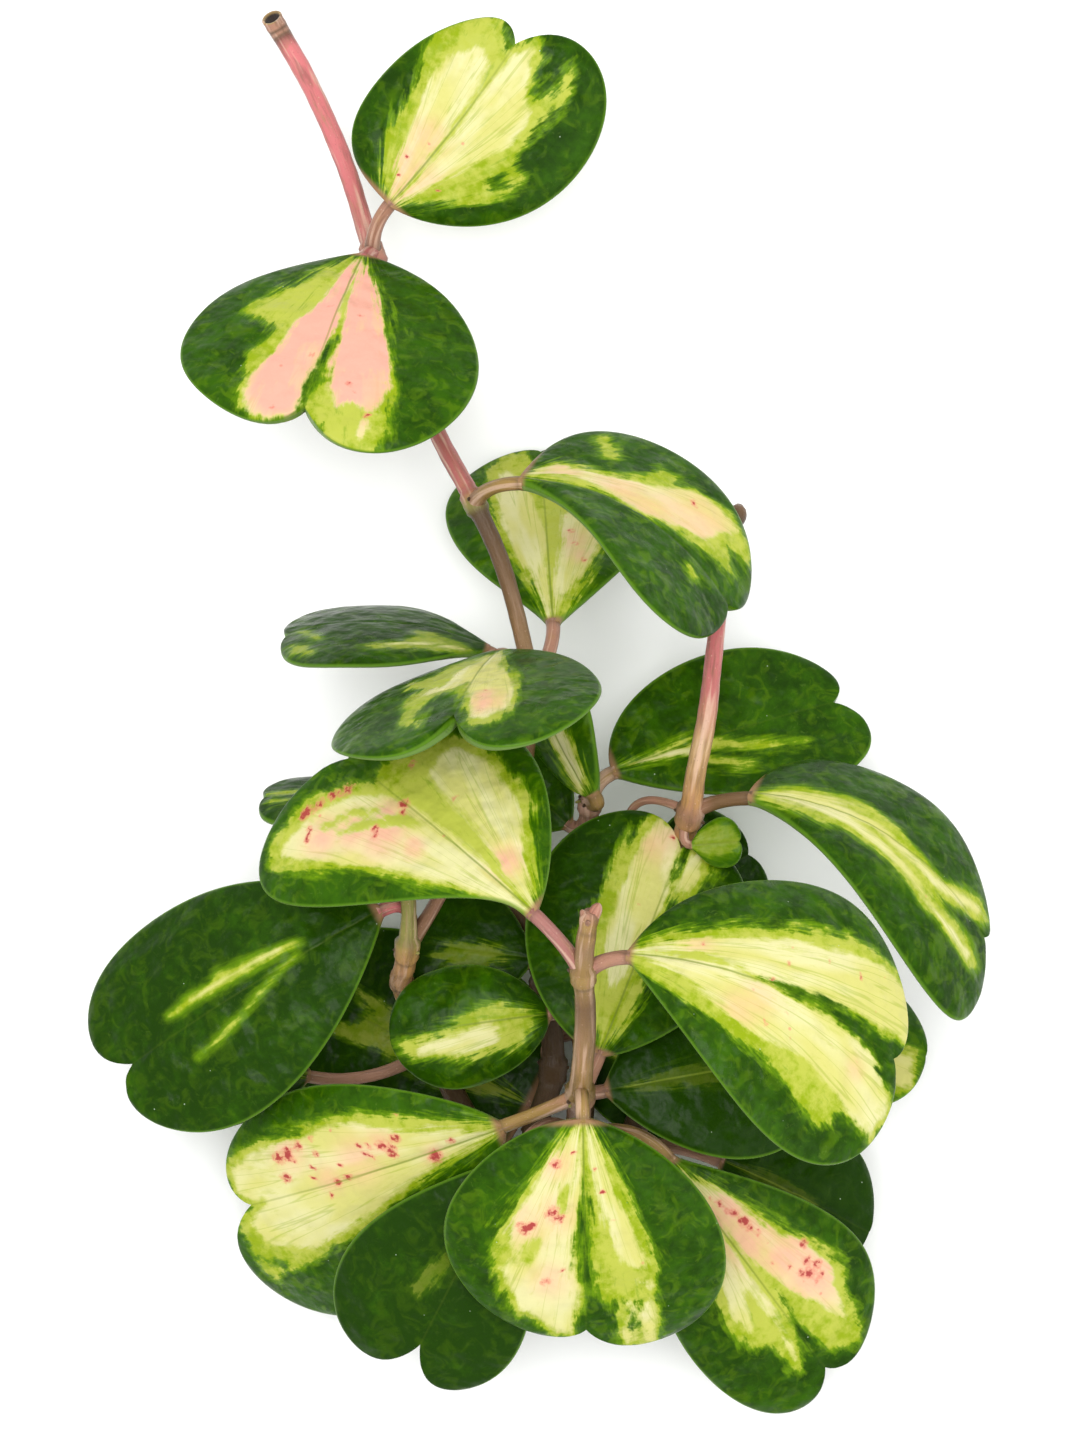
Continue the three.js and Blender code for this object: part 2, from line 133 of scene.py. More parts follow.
# Leaves: each row has the columns' values, and then what differs from a plain leaf. Angles are in degrees.
# Heading and pitch are those of the line from base to notch.
LEAF_COLUMNS = ("joint", "base", "heading", "pitch", "roll", "length", "width")
LEAVES = {
    "leaf_top_upper": ("vine_high", [-37, 124.5, 34], 51.5, 6, 0, 59, 54, dict(
        arch=20, cup=18, skew=0.16, lean=0.2, notch=0.155, taper=-0.05, bias=0.35, sweep=12, cream=True)),
    "leaf_top_pink": ("vine_high", [-43.5, 111, 34], -109, 44, -14, 67.5, 74, dict(
        arch=30, cup=12, skew=-0.03, lean=-0.17, notch=0.16, taper=0.35, bias=0.1)),
    "leaf_mid_back": ("vine_low", [3, 21, 46], 94, -46, 0, 65, 54, dict(
        arch=10, cup=15, skew=0.08, taper=1.05, notch=0.05, rests=True, cream=True)),
    "leaf_mid_arched": ("vine_mid", [-5, 55, 66], -31.5, 4, 56, 66.5, 57, dict(
        arch=72, cup=-8, skew=-0.06, lean=-0.1, taper=0.6, bias=1, sweep=-12)),
    "leaf_side_left": ("vine_low", [-13, 14.5, 50], 176, 0, -73, 53, 53, dict(arch=45, cup=10)),
    "leaf_saddle": ("vine_low", [-10, 13.5, 64], -123, 65, -44, 63, 67.5, dict(
        arch=20, cup=10, notch=0.3, taper=0.4, lean=-0.1)),
    "leaf_right_back": ("back_high", [17.5, -15, 35], 17, -10, 25, 65.5, 43, dict(
        arch=15, cup=-15, lean=0.12, notch=0.12, taper=0.45, bias=0.45)),
    "leaf_right_arched": ("right_high", [50.5, -21, 56], -31.5, 0, 54, 76, 53, dict(
        arch=75, cup=5, skew=0.08, lean=0.4, taper=0.53, bias=0.78, sweep=-15)),
    "leaf_inner_cream": ("back_high", [13, -20.5, 42], 117, -5, 42, 36, 23, dict(arch=20, cup=15)),
    "leaf_inner_small": ("back_high", [7, -28, 29], 138, -12, 0, 33, 29, dict(arch=20, cup=15)),
    "leaf_left_back": ("left_mid", [-28, -22.5, 50], 179, -5, -66, 42, 30, dict(arch=20, cup=10)),
    "leaf_left_large": ("front_high", [-1.5, -48, 102], 141, -30, -12, 71, 69, dict(
        arch=25, cup=20, skew=-0.09, lean=-0.2, notch=0.065, taper=1.5, bias=-1, cream=True)),
    "leaf_centre_cream": ("front_low", [14, -83, 62], 68, -18, 0, 64, 54, dict(
        arch=10, cup=12, skew=-0.12, lean=-0.1, notch=0.13, taper=0.35, bias=0.2, cream=True)),
    "leaf_right_large": ("front_high", [20.5, -58, 102], -21.6, -6, 32, 77, 69, dict(
        arch=66, cup=20, sweep=-15, lean=0.2, taper=0.7, bias=0.3, cream=True)),
    "leaf_right_low_back": ("right_mid", [47.5, -73, 32], -15, -8, 30, 50, 36, dict(
        arch=20, cup=10, notch=0.02)),
    "leaf_left_dark": ("left_stub", [-38.5, -48, 60], -148, -12, -15, 84, 57, dict(
        arch=25, cup=20, taper=0.6, bias=-0.1, lean=0.08, skew=0.05, notch=0.125)),
    "leaf_inner_left": ("vine_inner", [2, -73.5, 50], -172, 0, -5, 40, 31, dict(
        arch=40, cup=25, notch=0.02, taper=0.3)),
    "leaf_inner_shadow": ("vine_inner", [-2, -60.5, 41], 172, -5, -12, 30, 34, dict(arch=10, cup=10)),
    "leaf_rest_left": ("vine_root", [-2.5, -97.5, 10.7], 153, -7.8, 0, 73, 56, dict(
        arch=15, cup=10, taper=-0.4, rests=True)),
    "leaf_under_left": ("left_bend", [-57, -90, 24], 168, 0, 0, 40, 36, dict(arch=15, cup=10, petiole=1.7)),
    "leaf_front_left": ("front_low", [-9, -100, 63], -161.5, -27, 12, 85, 64, dict(
        arch=25, cup=22, skew=-0.24, lean=-0.21, notch=0.14, cream=True)),
    "leaf_bottom_green": ("front_base", [-6.5, -108, 65], -116.5, -18, 0, 67.5, 49, dict(
        arch=25, cup=15, skew=0.1, notch=0.21, taper=0.9)),
    "leaf_front": ("front_low", [10, -97, 83], -89, -24, 0, 65.5, 69, dict(
        arch=40, cup=18, lean=-0.22, taper=0.25, bias=-0.15, notch=0.13)),
    "leaf_bottom_right": ("front_base", [31, -108.5, 50], -53.6, -20, 0, 78, 51.5, dict(
        arch=25, cup=20, lean=0.17, notch=0.11, taper=0.75, bias=-0.25)),
    "leaf_low_right_dark": ("right_low", [44, -110.5, 28], -27, -12, 20, 42.5, 39, dict(
        arch=20, cup=10, notch=0.02)),
    "leaf_under_right": ("front_low", [15.5, -92, 54], 9, -9, 10, 55, 47, dict(
        arch=20, cup=10, skew=-0.05)),
    "leaf_young": ("right_high", [36.8, -32.5, 49], 5, 5, 0, 12.5, 12.5, dict(
        arch=20, cup=10, petiole=1.2)),
    "leaf_young_hidden": ("right_high", [21, -27.5, 37], -95, -15, 0, 18, 11, dict(
        arch=20, cup=10, petiole=1.1)),
    "leaf_centre_back": ("back_mid", [26, -50, 15], 30, 0, 0, 32, 35, dict(arch=10, cup=10)),
    "leaf_rest_right": ("vine_bend", [7.5, -80, 10.2], 5.2, -7.1, 0, 74.5, 60, dict(
        arch=15, cup=10, taper=-0.3, rests=True)),
}
PLAIN_LEAF = dict(
    sweep=0, skew=0, lean=0, notch=0.09, taper=0.6, bias=0, wave=0.4, petiole=PETIOLE_RADIUS, rests=False,
    cream=False)

# Markings, in leaf places as whole hundredths: across is -100 at the left edge and 100 at the right one, and
# along is 0 at the base and 100 at the notch. Cream, lime, pale lime and green are outlines, each a run of
# across, along, across, along. Pale lime cuts into cream, and green into both. Blush and red are spots
# (across, along, radius), with the radius in millimetres.
MARKS = {
    "leaf_top_upper": {
        "cream": [
            [0, 0, -19, 14, -27, 26, -40, 44, -44, 54, -40, 66, -26, 76, -10, 72, -3, 62, 0, 30],
            [0, 0, 3, 30, 2, 60, 4, 80, 16, 86, 30, 72, 49, 62, 50, 50, 42, 42, 30, 30, 21, 22, 12, 10],
        ],
        "lime": [
            [0, 0, -18, 5, -39, 17, -45, 30, -50, 44, -60, 54, -64, 66, -63, 77, -46, 87, -26, 91, -14, 86,
             0, 80, 6, 88, 15, 93, 27, 87, 34, 73, 43, 69, 52, 76, 56, 89, 64, 87, 66, 74, 60, 62, 58, 50,
             66, 44, 76, 42, 68, 32, 52, 23, 30, 15, 12, 6],
        ],
        "green": [[55, 33, 63, 40, 67, 38, 60, 31]],
        "blush": [(-15, 17, 7), (-12, 32, 5), (20, 16, 5), (3, 8, 6)],
        "red": [(-18, 20, 0.7), (-12, 12, 0.6), (-20, 27, 0.5), (-10, 30, 0.5), (24, 18, 0.5)],
    },
    "leaf_top_pink": {
        "cream": [
            [-1, 6, -9, 13, -17, 21, -24, 29, -33, 40, -40, 50, -47, 62, -50, 74, -49, 83, -38, 82,
             -28, 80, -18, 82, -13, 75, -11, 65, -10, 50, -7, 35, -4, 20],
            [1, 6, -1, 28, -3, 42, -1, 57, 1, 70, 5, 88, 19, 91, 37, 90, 41, 82, 40, 72, 30, 62, 26, 50,
             17, 42, 12, 32, 9, 20],
            [-48, 85, -44, 93, -38, 94, -38, 87],
        ],
        "lime": [
            [-2, 4, -11, 13, -22, 26, -35, 40, -42, 52, -51, 64, -57, 80, -55, 95, -40, 100, -20, 99,
             -16, 90, -3, 92, -3, 80, -11, 74, -8, 50, 0, 56, 2, 74, 6, 90, 30, 92, 43, 88, 45, 66, 38, 58,
             36, 50, 46, 46, 60, 44, 55, 38, 45, 31, 30, 25, 20, 14, 5, 5],
        ],
        "blush": [
            (-15, 20, 10), (-20, 35, 13), (-30, 55, 14), (-33, 72, 11), (5, 20, 10), (5, 35, 12),
            (12, 50, 13), (18, 68, 13), (20, 80, 9),
        ],
        "red": [
            (-42, 84, 0.8), (-30, 75, 0.8), (-16, 38, 0.6), (5, 36, 0.6), (5, 62, 0.8), (20, 87, 0.6),
            (-24, 72, 0.8),
        ],
        "blush_strength": 1.35,
    },
    "leaf_mid_back": {
        "cream": [
            [-3, 0, -10, 15, -18, 25, -27, 35, -34, 46, -41, 58, -43, 72, -38, 84, -28, 86, -12, 72,
             -3, 50, 0, 20],
            [2, 0, 3, 20, 14, 40, 17, 56, 28, 60, 40, 56, 46, 43, 38, 31, 27, 22, 10, 12],
        ],
        "lime": [
            [-6, 0, -14, 15, -34, 34, -46, 54, -52, 76, -44, 96, -14, 97, -6, 80, 10, 74, 34, 66, 50, 50,
             48, 38, 30, 20, 8, 0],
        ],
        "blush": [(24, 42, 4), (28, 34, 3)],
        "red": [(22, 47, 0.9), (25, 40, 0.8), (31, 31, 0.8), (19, 55, 0.7)],
    },
    "leaf_mid_arched": {
        "cream": [
            [-3, 1, -28, 10, -25, 17, -27, 25, -35, 33, -42, 42, -50, 47, -62, 52, -72, 58, -72, 70,
             -75, 78, -65, 75, -55, 72, -40, 70, -30, 68, -20, 62, -12, 55, -6, 48, -5, 35, -8, 25, -13, 15],
        ],
        "lime": [
            [0, 0, -32, 9, -30, 18, -34, 28, -48, 40, -72, 42, -70, 47, -56, 48, -74, 55, -78, 68, -76, 82,
             -56, 88, -46, 76, -36, 80, -30, 87, -22, 84, -16, 68, -8, 56, -2, 44, -2, 20],
            [-90, 20, -60, 28, -55, 24, -80, 17],
            [10, 71, 14, 76, 20, 74, 16, 70],
        ],
        "blush": [(-16, 36, 8), (-28, 56, 9), (-42, 64, 9), (-18, 14, 5), (-14, 46, 6)],
        "red": [(-55, 58, 1.2)],
    },
    "leaf_side_left": {
        "cream": [[-38, 13, -47, 26, -55, 38, -62, 48, -62, 50, -54, 42, -47, 32, -40, 20, -34, 12]],
        "lime": [
            [-44, 12, -55, 26, -66, 42, -70, 58, -60, 52, -50, 40, -34, 34, -18, 34, -20, 20, -30, 8],
            [-70, 80, -60, 90, -42, 90, -50, 83],
            [-38, 77, -20, 85, 0, 90, 2, 87, -20, 80],
        ],
        "lime_strength": 0.6,
    },
    "leaf_saddle": {
        "cream": [
            [-3, 6, -10, 14, -14, 27, -25, 37, -33, 46, -37, 58, -36, 70, -27, 77, -13, 75, -10, 65,
             -6, 54, 0, 49, 2, 40, 12, 45, 30, 48, 38, 51, 33, 44, 20, 39, 16, 29, 7, 20, 4, 10],
        ],
        "lime": [
            [-5, 4, -16, 20, -30, 38, -40, 50, -42, 68, -36, 80, -16, 82, -6, 68, 0, 55, 8, 48, 22, 52,
             26, 66, 24, 76, 38, 72, 44, 56, 42, 46, 34, 40, 50, 36, 52, 30, 36, 26, 30, 15, 10, 10],
        ],
        "green": [[6, 50, 20, 55, 24, 72, 30, 72, 30, 56, 20, 50]],
        "blush": [(-20, 64, 5), (-18, 56, 3)],
        "red": [(-22, 60, 0.6), (-17, 52, 0.5)],
        "blush_strength": 0.8,
        "lime_strength": 0.8,
    },
    "leaf_right_back": {
        "cream": [[0, 10, 1, 24, 7, 31, 11, 30, 6, 20, 3, 10]],
        "lime": [
            [-2, 5, -1, 30, 4, 40, 13, 46, 25, 54, 36, 64, 42, 72, 42, 66, 32, 54, 20, 44, 13, 32, 4, 10],
            [14, 30, 30, 39, 50, 52, 54, 50, 44, 41, 26, 31],
            [-2, 14, -10, 30, -6, 32, 0, 20],
        ],
    },
    "leaf_right_arched": {
        "cream": [
            [0, 4, -8, 13, -13, 24, -15, 33, -10, 30, -6, 26, -5, 42, 0, 50, 5, 58, 7, 65, 2, 70, -5, 74,
             -12, 79, -18, 84, -12, 84, -4, 80, 6, 76, 12, 70, 14, 62, 10, 52, 3, 42, 2, 32, 6, 36, 12, 44,
             20, 53, 28, 62, 36, 72, 35, 86, 31, 90, 39, 90, 42, 74, 35, 62, 25, 50, 17, 38, 14, 24, 9, 10],
        ],
        "lime": [
            [0, 1, -12, 10, -20, 20, -25, 30, -22, 40, -17, 48, -10, 52, -4, 58, 0, 64, -2, 69, -12, 75,
             -25, 82, -20, 89, -8, 86, 6, 80, 16, 74, 20, 66, 26, 76, 25, 88, 30, 95, 40, 93, 47, 78,
             43, 66, 36, 54, 26, 44, 25, 34, 25, 24, 18, 14, 8, 4],
        ],
        "red": [(31, 66, 0.7)],
    },
    "leaf_inner_cream": {
        "cream": [[-20, 4, -10, 30, -6, 60, 10, 80, 28, 70, 25, 40, 10, 15]],
        "lime": [[-24, 3, -16, 40, -14, 70, 10, 90, 36, 76, 34, 40, 14, 10]],
    },
    "leaf_left_back": {
        "lime": [
            [-36, 74, -34, 90, -24, 88, -24, 76],
            [-5, 64, -6, 86, 4, 92, 6, 70],
            [0, 5, -20, 30, -16, 56, -4, 40, 4, 20],
        ],
    },
    "leaf_left_large": {
        "cream": [
            [-2, 1, -12, 12, -17, 24, -28, 34, -36, 43, -43, 51, -53, 60, -62, 67, -71, 75, -79, 82,
             -84, 89, -60, 90, -40, 87, -20, 81, -6, 71, 2, 58, 5, 40, 4, 20],
            [2, 1, 8, 20, 16, 34, 21, 50, 27, 63, 42, 68, 57, 65, 60, 52, 56, 40, 48, 30, 30, 20, 14, 9],
        ],
        "lime": [
            [-3, 0, -14, 10, -20, 24, -34, 36, -46, 49, -60, 61, -72, 69, -82, 77, -92, 88, -86, 95,
             -60, 96, -40, 93, -16, 87, -2, 78, 10, 80, 30, 76, 50, 74, 66, 66, 68, 52, 64, 40, 56, 28,
             34, 17, 16, 6],
        ],
        "pale_lime": [
            [3, 20, 7, 42, 5, 62, 10, 72, 27, 71, 22, 55, 18, 40, 10, 20],
            [-14, 66, -30, 74, -50, 80, -48, 82, -28, 77, -12, 69],
            [0, 50, -14, 56, -30, 66, -46, 73, -44, 75, -26, 70, -8, 60],
            [-10, 80, -30, 84, -50, 87, -30, 86],
        ],
        "blush": [(-26, 60, 6), (-36, 70, 5), (-14, 64, 4), (-54, 79, 5), (-20, 48, 3), (14, 20, 4)],
        "blush_strength": 0.85,
        "red": [
            (-50, 91, 1.6), (-45, 90.5, 1.6), (-39, 88.5, 1.7), (-27, 87, 1.5), (-19, 84.5, 1.7),
            (-15, 83, 1.5), (-1, 62.5, 1.6), (-26, 64, 1), (-31, 62, 1.2), (-6, 60, 0.9), (25, 50, 0.9),
            (-60, 83, 1.2), (-54, 85, 1.2), (24, 72, 1.2),
        ],
    },
    "leaf_centre_cream": {
        "cream": [
            [-12, 26, -28, 34, -34, 46, -37, 60, -38, 72, -34, 86, -26, 94, -6, 94, 0, 87, 2, 70, 0, 50,
             -4, 32],
            [10, 70, 9, 86, 17, 88, 24, 78, 17, 72],
        ],
        "lime": [
            [0, 2, -10, 8, -26, 14, -42, 28, -56, 42, -50, 56, -48, 70, -47, 86, -36, 97, -4, 97, 3, 88,
             5, 66, 8, 50, 14, 30, 8, 10],
            [6, 66, 6, 88, 20, 93, 36, 84, 27, 70],
        ],
        "blush": [(-22, 84, 5), (-10, 90, 4)],
        "red": [(-10, 90, 0.9), (-24, 82, 0.6), (-16, 60, 0.5)],
    },
    "leaf_right_large": {
        "cream": [
            [-2, 2, -12, 12, -21, 23, -28, 32, -36, 43, -42, 53, -50, 65, -54, 77, -55, 88, -38, 94,
             -16, 94, -13, 84, -12, 72, -4, 60, -2, 46, -7, 30, -8, 18],
            [0, 3, -2, 20, 0, 34, 3, 46, 3, 60, 6, 72, 10, 83, 16, 90, 32, 97, 56, 96, 55, 87, 46, 74,
             38, 62, 40, 50, 38, 42, 28, 33, 16, 22, 8, 10],
        ],
        "lime": [
            [-3, 0, -18, 12, -36, 30, -48, 46, -56, 55, -64, 64, -60, 80, -60, 90, -40, 97, -12, 96,
             -10, 84, -9, 72, -2, 60, 2, 60, 5, 74, 12, 88, 30, 100, 58, 98, 56, 82, 66, 80, 78, 76,
             66, 67, 54, 55, 48, 46, 46, 38, 34, 24, 20, 12, 8, 2],
        ],
        "green": [[-3, 36, -5, 50, -7, 62, -10, 74, -9, 90, 0, 98, 12, 94, 7, 82, 1, 70, 0, 52]],
        "blush": [(-15, 20, 4), (16, 42, 5), (25, 38, 5), (24, 80, 3)],
        "blush_strength": 0.4,
        "red": [
            (-3, 45, 1), (-22, 48, 0.8), (-36, 60, 0.5), (28, 47, 0.8), (16, 52, 0.6), (-38, 71, 0.5),
            (18, 79, 0.6), (-16, 22, 0.6), (10, 40, 0.5), (20, 38, 0.5), (30, 55, 0.5), (22, 70, 0.5),
        ],
    },
    "leaf_right_low_back": {
        "cream": [[10, 50, 10, 90, 50, 94, 60, 70, 40, 50]],
        "lime": [[0, 10, -20, 50, 0, 92, 56, 96, 70, 66, 40, 30]],
    },
    "leaf_left_dark": {
        "cream": [[12.5, 32, 13.5, 45, 15, 56, 16.5, 62, 18, 52, 17, 40, 14, 31]],
        "lime": [
            [9, 25, 10.5, 40, 12.5, 54, 14, 66, 16, 70, 19, 64, 20, 54, 23, 53, 25, 51, 21, 44, 17, 36,
             11, 26],
            [3, 27, -5, 36, -14, 45, -21, 53, -25, 60, -28, 68, -24, 60, -17, 51, -9, 42, 2, 29],
        ],
        "red": [(9, 24.5, 0.9)],
    },
    "leaf_inner_left": {
        "cream": [
            [-12, 34, -32, 36, -40, 50, -42, 62, -33, 72, -32, 82, -18, 82, -12, 70, -10, 55, -3, 45, 0, 36],
        ],
        "lime": [
            [0, 10, -40, 20, -50, 45, -46, 66, -36, 78, -34, 88, -14, 92, -8, 76, 0, 60, 16, 50, 20, 30,
             10, 15],
        ],
    },
    "leaf_front_left": {
        "cream": [
            [0, 3, -6, 12, -12, 24, -20, 37, -31, 50, -38, 62, -44, 72, -38, 81, -30, 88, -15, 89, -3, 82,
             2, 80, 5, 85, 12, 88, 30, 87, 37, 80, 40, 70, 43, 55, 38, 42, 30, 33, 20, 24, 9, 12],
        ],
        "lime": [
            [-1, 0, -10, 12, -24, 34, -40, 52, -50, 69, -57, 82, -67, 92, -62, 95, -40, 94, -18, 94,
             -2, 86, 5, 89, 30, 91, 43, 83, 45, 70, 47, 55, 45, 40, 34, 28, 18, 14, 5, 1],
        ],
        "green": [[-60, 86, -50, 92, -46, 99, -40, 97, -44, 86, -54, 80]],
        "blush": [(32, 66, 5), (12, 45, 6), (5, 56, 4), (-3, 22, 3), (20, 36, 4)],
        "blush_strength": 0.55,
        "red": [
            (30, 70, 1.7), (33, 66, 1.5), (35, 62, 1.5), (14, 70, 1.7), (25, 65, 0.9), (8, 61, 1),
            (0, 54, 1.3), (2, 50, 1.1), (16, 60, 1), (25, 57, 1.1), (37, 57, 1), (12, 51, 0.9),
            (17, 36, 1.6), (9, 34, 1.5), (13, 33, 1.2), (20, 31, 1.5), (-3, 22, 2), (4, 15.5, 1.1),
            (40, 27.5, 1.6), (22, 43, 0.9), (15, 42, 0.9), (20, 40, 1), (10, 40, 0.8), (-8, 58, 0.8),
            (29, 67, 1.3),
        ],
    },
    "leaf_bottom_green": {
        "lime": [[10, 42, 16, 56, 24, 62, 34, 60, 26, 50, 20, 42]],
        "lime_strength": 0.2,
    },
    "leaf_front": {
        "cream": [
            [2, 2, 3, 22, 6, 37, 8, 51, 6, 65, 7, 76, 10, 88, 20, 89, 30, 83, 45, 76, 52, 69, 58, 60,
             48, 54, 54, 44, 46, 35, 34, 26, 25, 17, 12, 8],
            [-2, 2, -12, 14, -20, 27, -30, 40, -38, 50, -44, 60, -35, 60, -24, 55, -15, 43, -9, 29, -3, 14],
            [-50, 86, -46, 96, -40, 96, -38, 86, -42, 74, -46, 74],
            [-36, 94, -28, 97, -26, 90, -30, 78, -26, 72, -31, 75, -34, 86],
            [-46, 69, -34, 66, -36, 63, -47, 65],
        ],
        "lime": [
            [0, 0, -16, 12, -30, 30, -42, 45, -50, 60, -48, 72, -53, 84, -50, 97, -26, 99, -22, 88,
             -22, 74, -10, 68, -5, 52, -3, 30, 1, 20, 5, 40, 6, 52, 4, 65, 4, 76, 8, 90, 24, 91, 34, 84,
             50, 78, 58, 70, 63, 60, 60, 50, 60, 42, 50, 33, 40, 25, 28, 16, 14, 6],
        ],
        "green": [[-40, 80, -36, 90, -32, 88, -30, 74, -38, 72]],
        "pale_lime": [[30, 47, 38, 56, 46, 58, 42, 48, 34, 45], [10, 25, 14, 36, 18, 36, 16, 24]],
        "blush": [(40, 40, 6), (20, 36, 5), (25, 63, 5), (19, 16, 4)],
        "red": [
            (18, 37, 1.6), (22, 35, 1.8), (41, 42, 1.8), (36, 40, 1.4), (19, 16.5, 1.4), (27, 64, 1.3),
            (15, 58.5, 0.8), (-21, 38, 0.7), (-13, 27, 0.8), (-8, 18, 0.7), (6, 12, 0.7), (44, 40, 1),
        ],
    },
    "leaf_bottom_right": {
        "cream": [
            [-2, 5, -10, 13, -22, 20, -32, 33, -42, 42, -58, 50, -62, 60, -50, 70, -46, 80, -36, 78,
             -28, 68, -15, 58, -5, 42, 0, 30, 0, 10],
            [3, 24, 5, 50, 9, 68, 17, 80, 15, 66, 12, 50, 20, 48, 30, 58, 36, 62, 38, 52, 26, 42, 14, 34,
             5, 22],
        ],
        "lime": [
            [-2, 4, -14, 12, -30, 24, -48, 42, -66, 50, -70, 64, -56, 74, -52, 88, -36, 90, -16, 84,
             -10, 70, -2, 56, 2, 70, 10, 79, 20, 84, 26, 72, 40, 68, 48, 58, 44, 46, 30, 38, 16, 30, 6, 18],
        ],
        "blush": [(-44, 60, 9), (-50, 50, 7), (-20, 36, 8), (-14, 24, 6), (-30, 48, 7), (-20, 60, 5)],
        "red": [
            (-9, 18, 0.7), (-13, 21, 1), (-14, 24, 0.8), (-19, 26, 1.2), (-19, 29, 1), (-21, 31, 1.3),
            (-22, 33, 1.1), (-26, 36, 0.9), (-28, 41, 0.6), (-24, 30, 0.6), (-52, 57, 1.4), (-41, 58, 1.7),
            (-46, 54, 1.3), (-49, 61, 1.2), (-54, 49, 1.3), (-35, 56, 1.1), (-43, 62, 0.9), (-30, 52, 0.7),
            (-33, 60, 0.7), (-20, 47, 0.6),
        ],
        "blush_strength": 0.8,
    },
    "leaf_inner_shadow": {
        "lime": [[-10, 20, -30, 50, -20, 80, 5, 70, 10, 30]],
        "lime_strength": 0.35,
    },
    "leaf_under_right": {
        "lime": [[0, 10, -10, 40, 0, 70, 12, 50, 8, 20]],
        "lime_strength": 0.12,
    },
    "leaf_young": {
        "lime": [[0, 0, -50, 20, -70, 50, -50, 85, 10, 90, 45, 70, 50, 35, 30, 10]],
        "lime_strength": 0.45,
    },
    "leaf_rest_left": {
        "lime": [[0, 5, -20, 30, -20, 70, 5, 60, 20, 70, 16, 30]],
        "lime_strength": 0.6,
    },
    "leaf_rest_right": {
        "cream": [[0, 5, -20, 30, -28, 60, -16, 80, 0, 60, 20, 80, 30, 50, 16, 20]],
        "lime": [[0, 0, -30, 26, -40, 60, -24, 88, 0, 74, 26, 88, 42, 50, 24, 16]],
    },
    "leaf_centre_back": {
        "lime": [[0, 5, -24, 30, -30, 60, -10, 80, 0, 50, 14, 70, 26, 40, 14, 15]],
        "lime_strength": 0.6,
    },
    "leaf_under_left": {
        "lime": [[0, 5, -20, 40, -10, 70, 10, 60, 10, 20]],
        "lime_strength": 0.5,
    },
    "leaf_low_right_dark": {
        "lime": [[0, 5, -10, 30, -5, 60, 6, 60, 10, 30]],
        "lime_strength": 0.1,
    },
}
PLAIN_MARKS = dict(
    cream=[], lime=[], green=[], pale_lime=[], blush=[], red=[], lime_strength=1.0, blush_strength=0.5)

# How steeply blushes and red spots fall off, as the power of the distance
BLUSH_STEEPNESS = 2.4
RED_STEEPNESS = 2.0

# How far the edges of a leaf's markings wander, where it isn't as on most leaves
EDGE_SWING = {
    "leaf_left_dark": 0.35, "leaf_right_arched": 0.55, "leaf_right_back": 0.7, "leaf_side_left": 0.7,
    "leaf_young": 0.3, "leaf_mid_arched": 0.8, "leaf_saddle": 0.8, "leaf_inner_left": 0.9,
    "leaf_left_large": 0.9,
}

# How deep a leaf's green is, from 0 (bright) to about 1 (deep)
GREEN_DEPTH = {
    "leaf_left_dark": 0.85, "leaf_right_back": 0.55, "leaf_side_left": 0.7, "leaf_left_back": 0.85,
    "leaf_bottom_green": 0.95, "leaf_low_right_dark": 1.1, "leaf_under_right": 1.1, "leaf_rest_left": 0.9,
    "leaf_inner_left": 0.6, "leaf_inner_shadow": 0.95, "leaf_top_pink": 0.45, "leaf_top_upper": 0.65,
    "leaf_left_large": 0.4, "leaf_young": 0.0, "leaf_saddle": 0.5, "leaf_front": 0.5,
    "leaf_centre_cream": 0.8, "leaf_centre_back": 0.9, "leaf_under_left": 0.9, "leaf_rest_right": 0.9,
    "leaf_right_arched": 0.6, "leaf_right_large": 0.55, "leaf_bottom_right": 0.6, "leaf_mid_arched": 0.5,
}
PLAIN_DEPTH = 0.4

# Mesh steps of a blade: rows from base to notch, and stations across one face from the midrib outwards
ROWS = 84
ROW_CROWDING = 0.11
HALF = np.array([
    0, 0.012, 0.026, 0.044, 0.07, 0.11, 0.16, 0.21, 0.26, 0.31, 0.36, 0.41, 0.46, 0.51, 0.56, 0.61, 0.66,
    0.71, 0.76, 0.81, 0.85, 0.89, 0.925, 0.955, 0.977, 0.991, 1.0,
])

# Relief of a blade's skin and reach of its fields, in millimetres where they are lengths
MIDRIB_GROOVE = 0.3
MIDRIB_WIDTH = 0.6
GROOVE_FADE, GROOVE_LEAST = 0.75, 0.2  # the groove grows shallower towards the notch, down to a least share
GROOVE_START = 14  # it sets in over one part in so many of the leaf's length
RIDGE_SHARE = 0.9  # the ridge below it, as a share of the groove
VEIN_RELIEF = 0.09
VEIN_COUNT = 7
VEIN_SLANT = 0.55
VEIN_WIDTH = 0.09
VEIN_START = 4
DIMPLE = 0.055
DIMPLE_LENGTHS = (17, 12, 8.5, 6.5, 4.8)
DIMPLE_WAVES = 3  # waves of each length, each in a direction of its own
DIMPLE_FALL = 0.6
DIMPLE_START = 6
RIM_REACH = 8
AT_RIM = 0.9999
FAN_START = 4  # the streaks fan out from this far behind the base
FLOW_ACROSS = 20  # noise steps for a radian across the fan
FLOW_ALONG = 7  # millimetres along the fan for one noise step
NOISE_SHIFT = 7.31  # how far apart the leaves lie in the noise
PLACE_SHIFTS = (9, 5)
UNDER_SHIFT = 40.0
FAR = -12.0  # the least value of an outline's field
BEYOND = 1e9  # farther than any outline

# Leaves whose skin is more quilted than the others'
QUILT = {"leaf_left_dark": 3.2, "leaf_low_right_dark": 1.8, "leaf_bottom_green": 1.6, "leaf_under_right": 1.6}

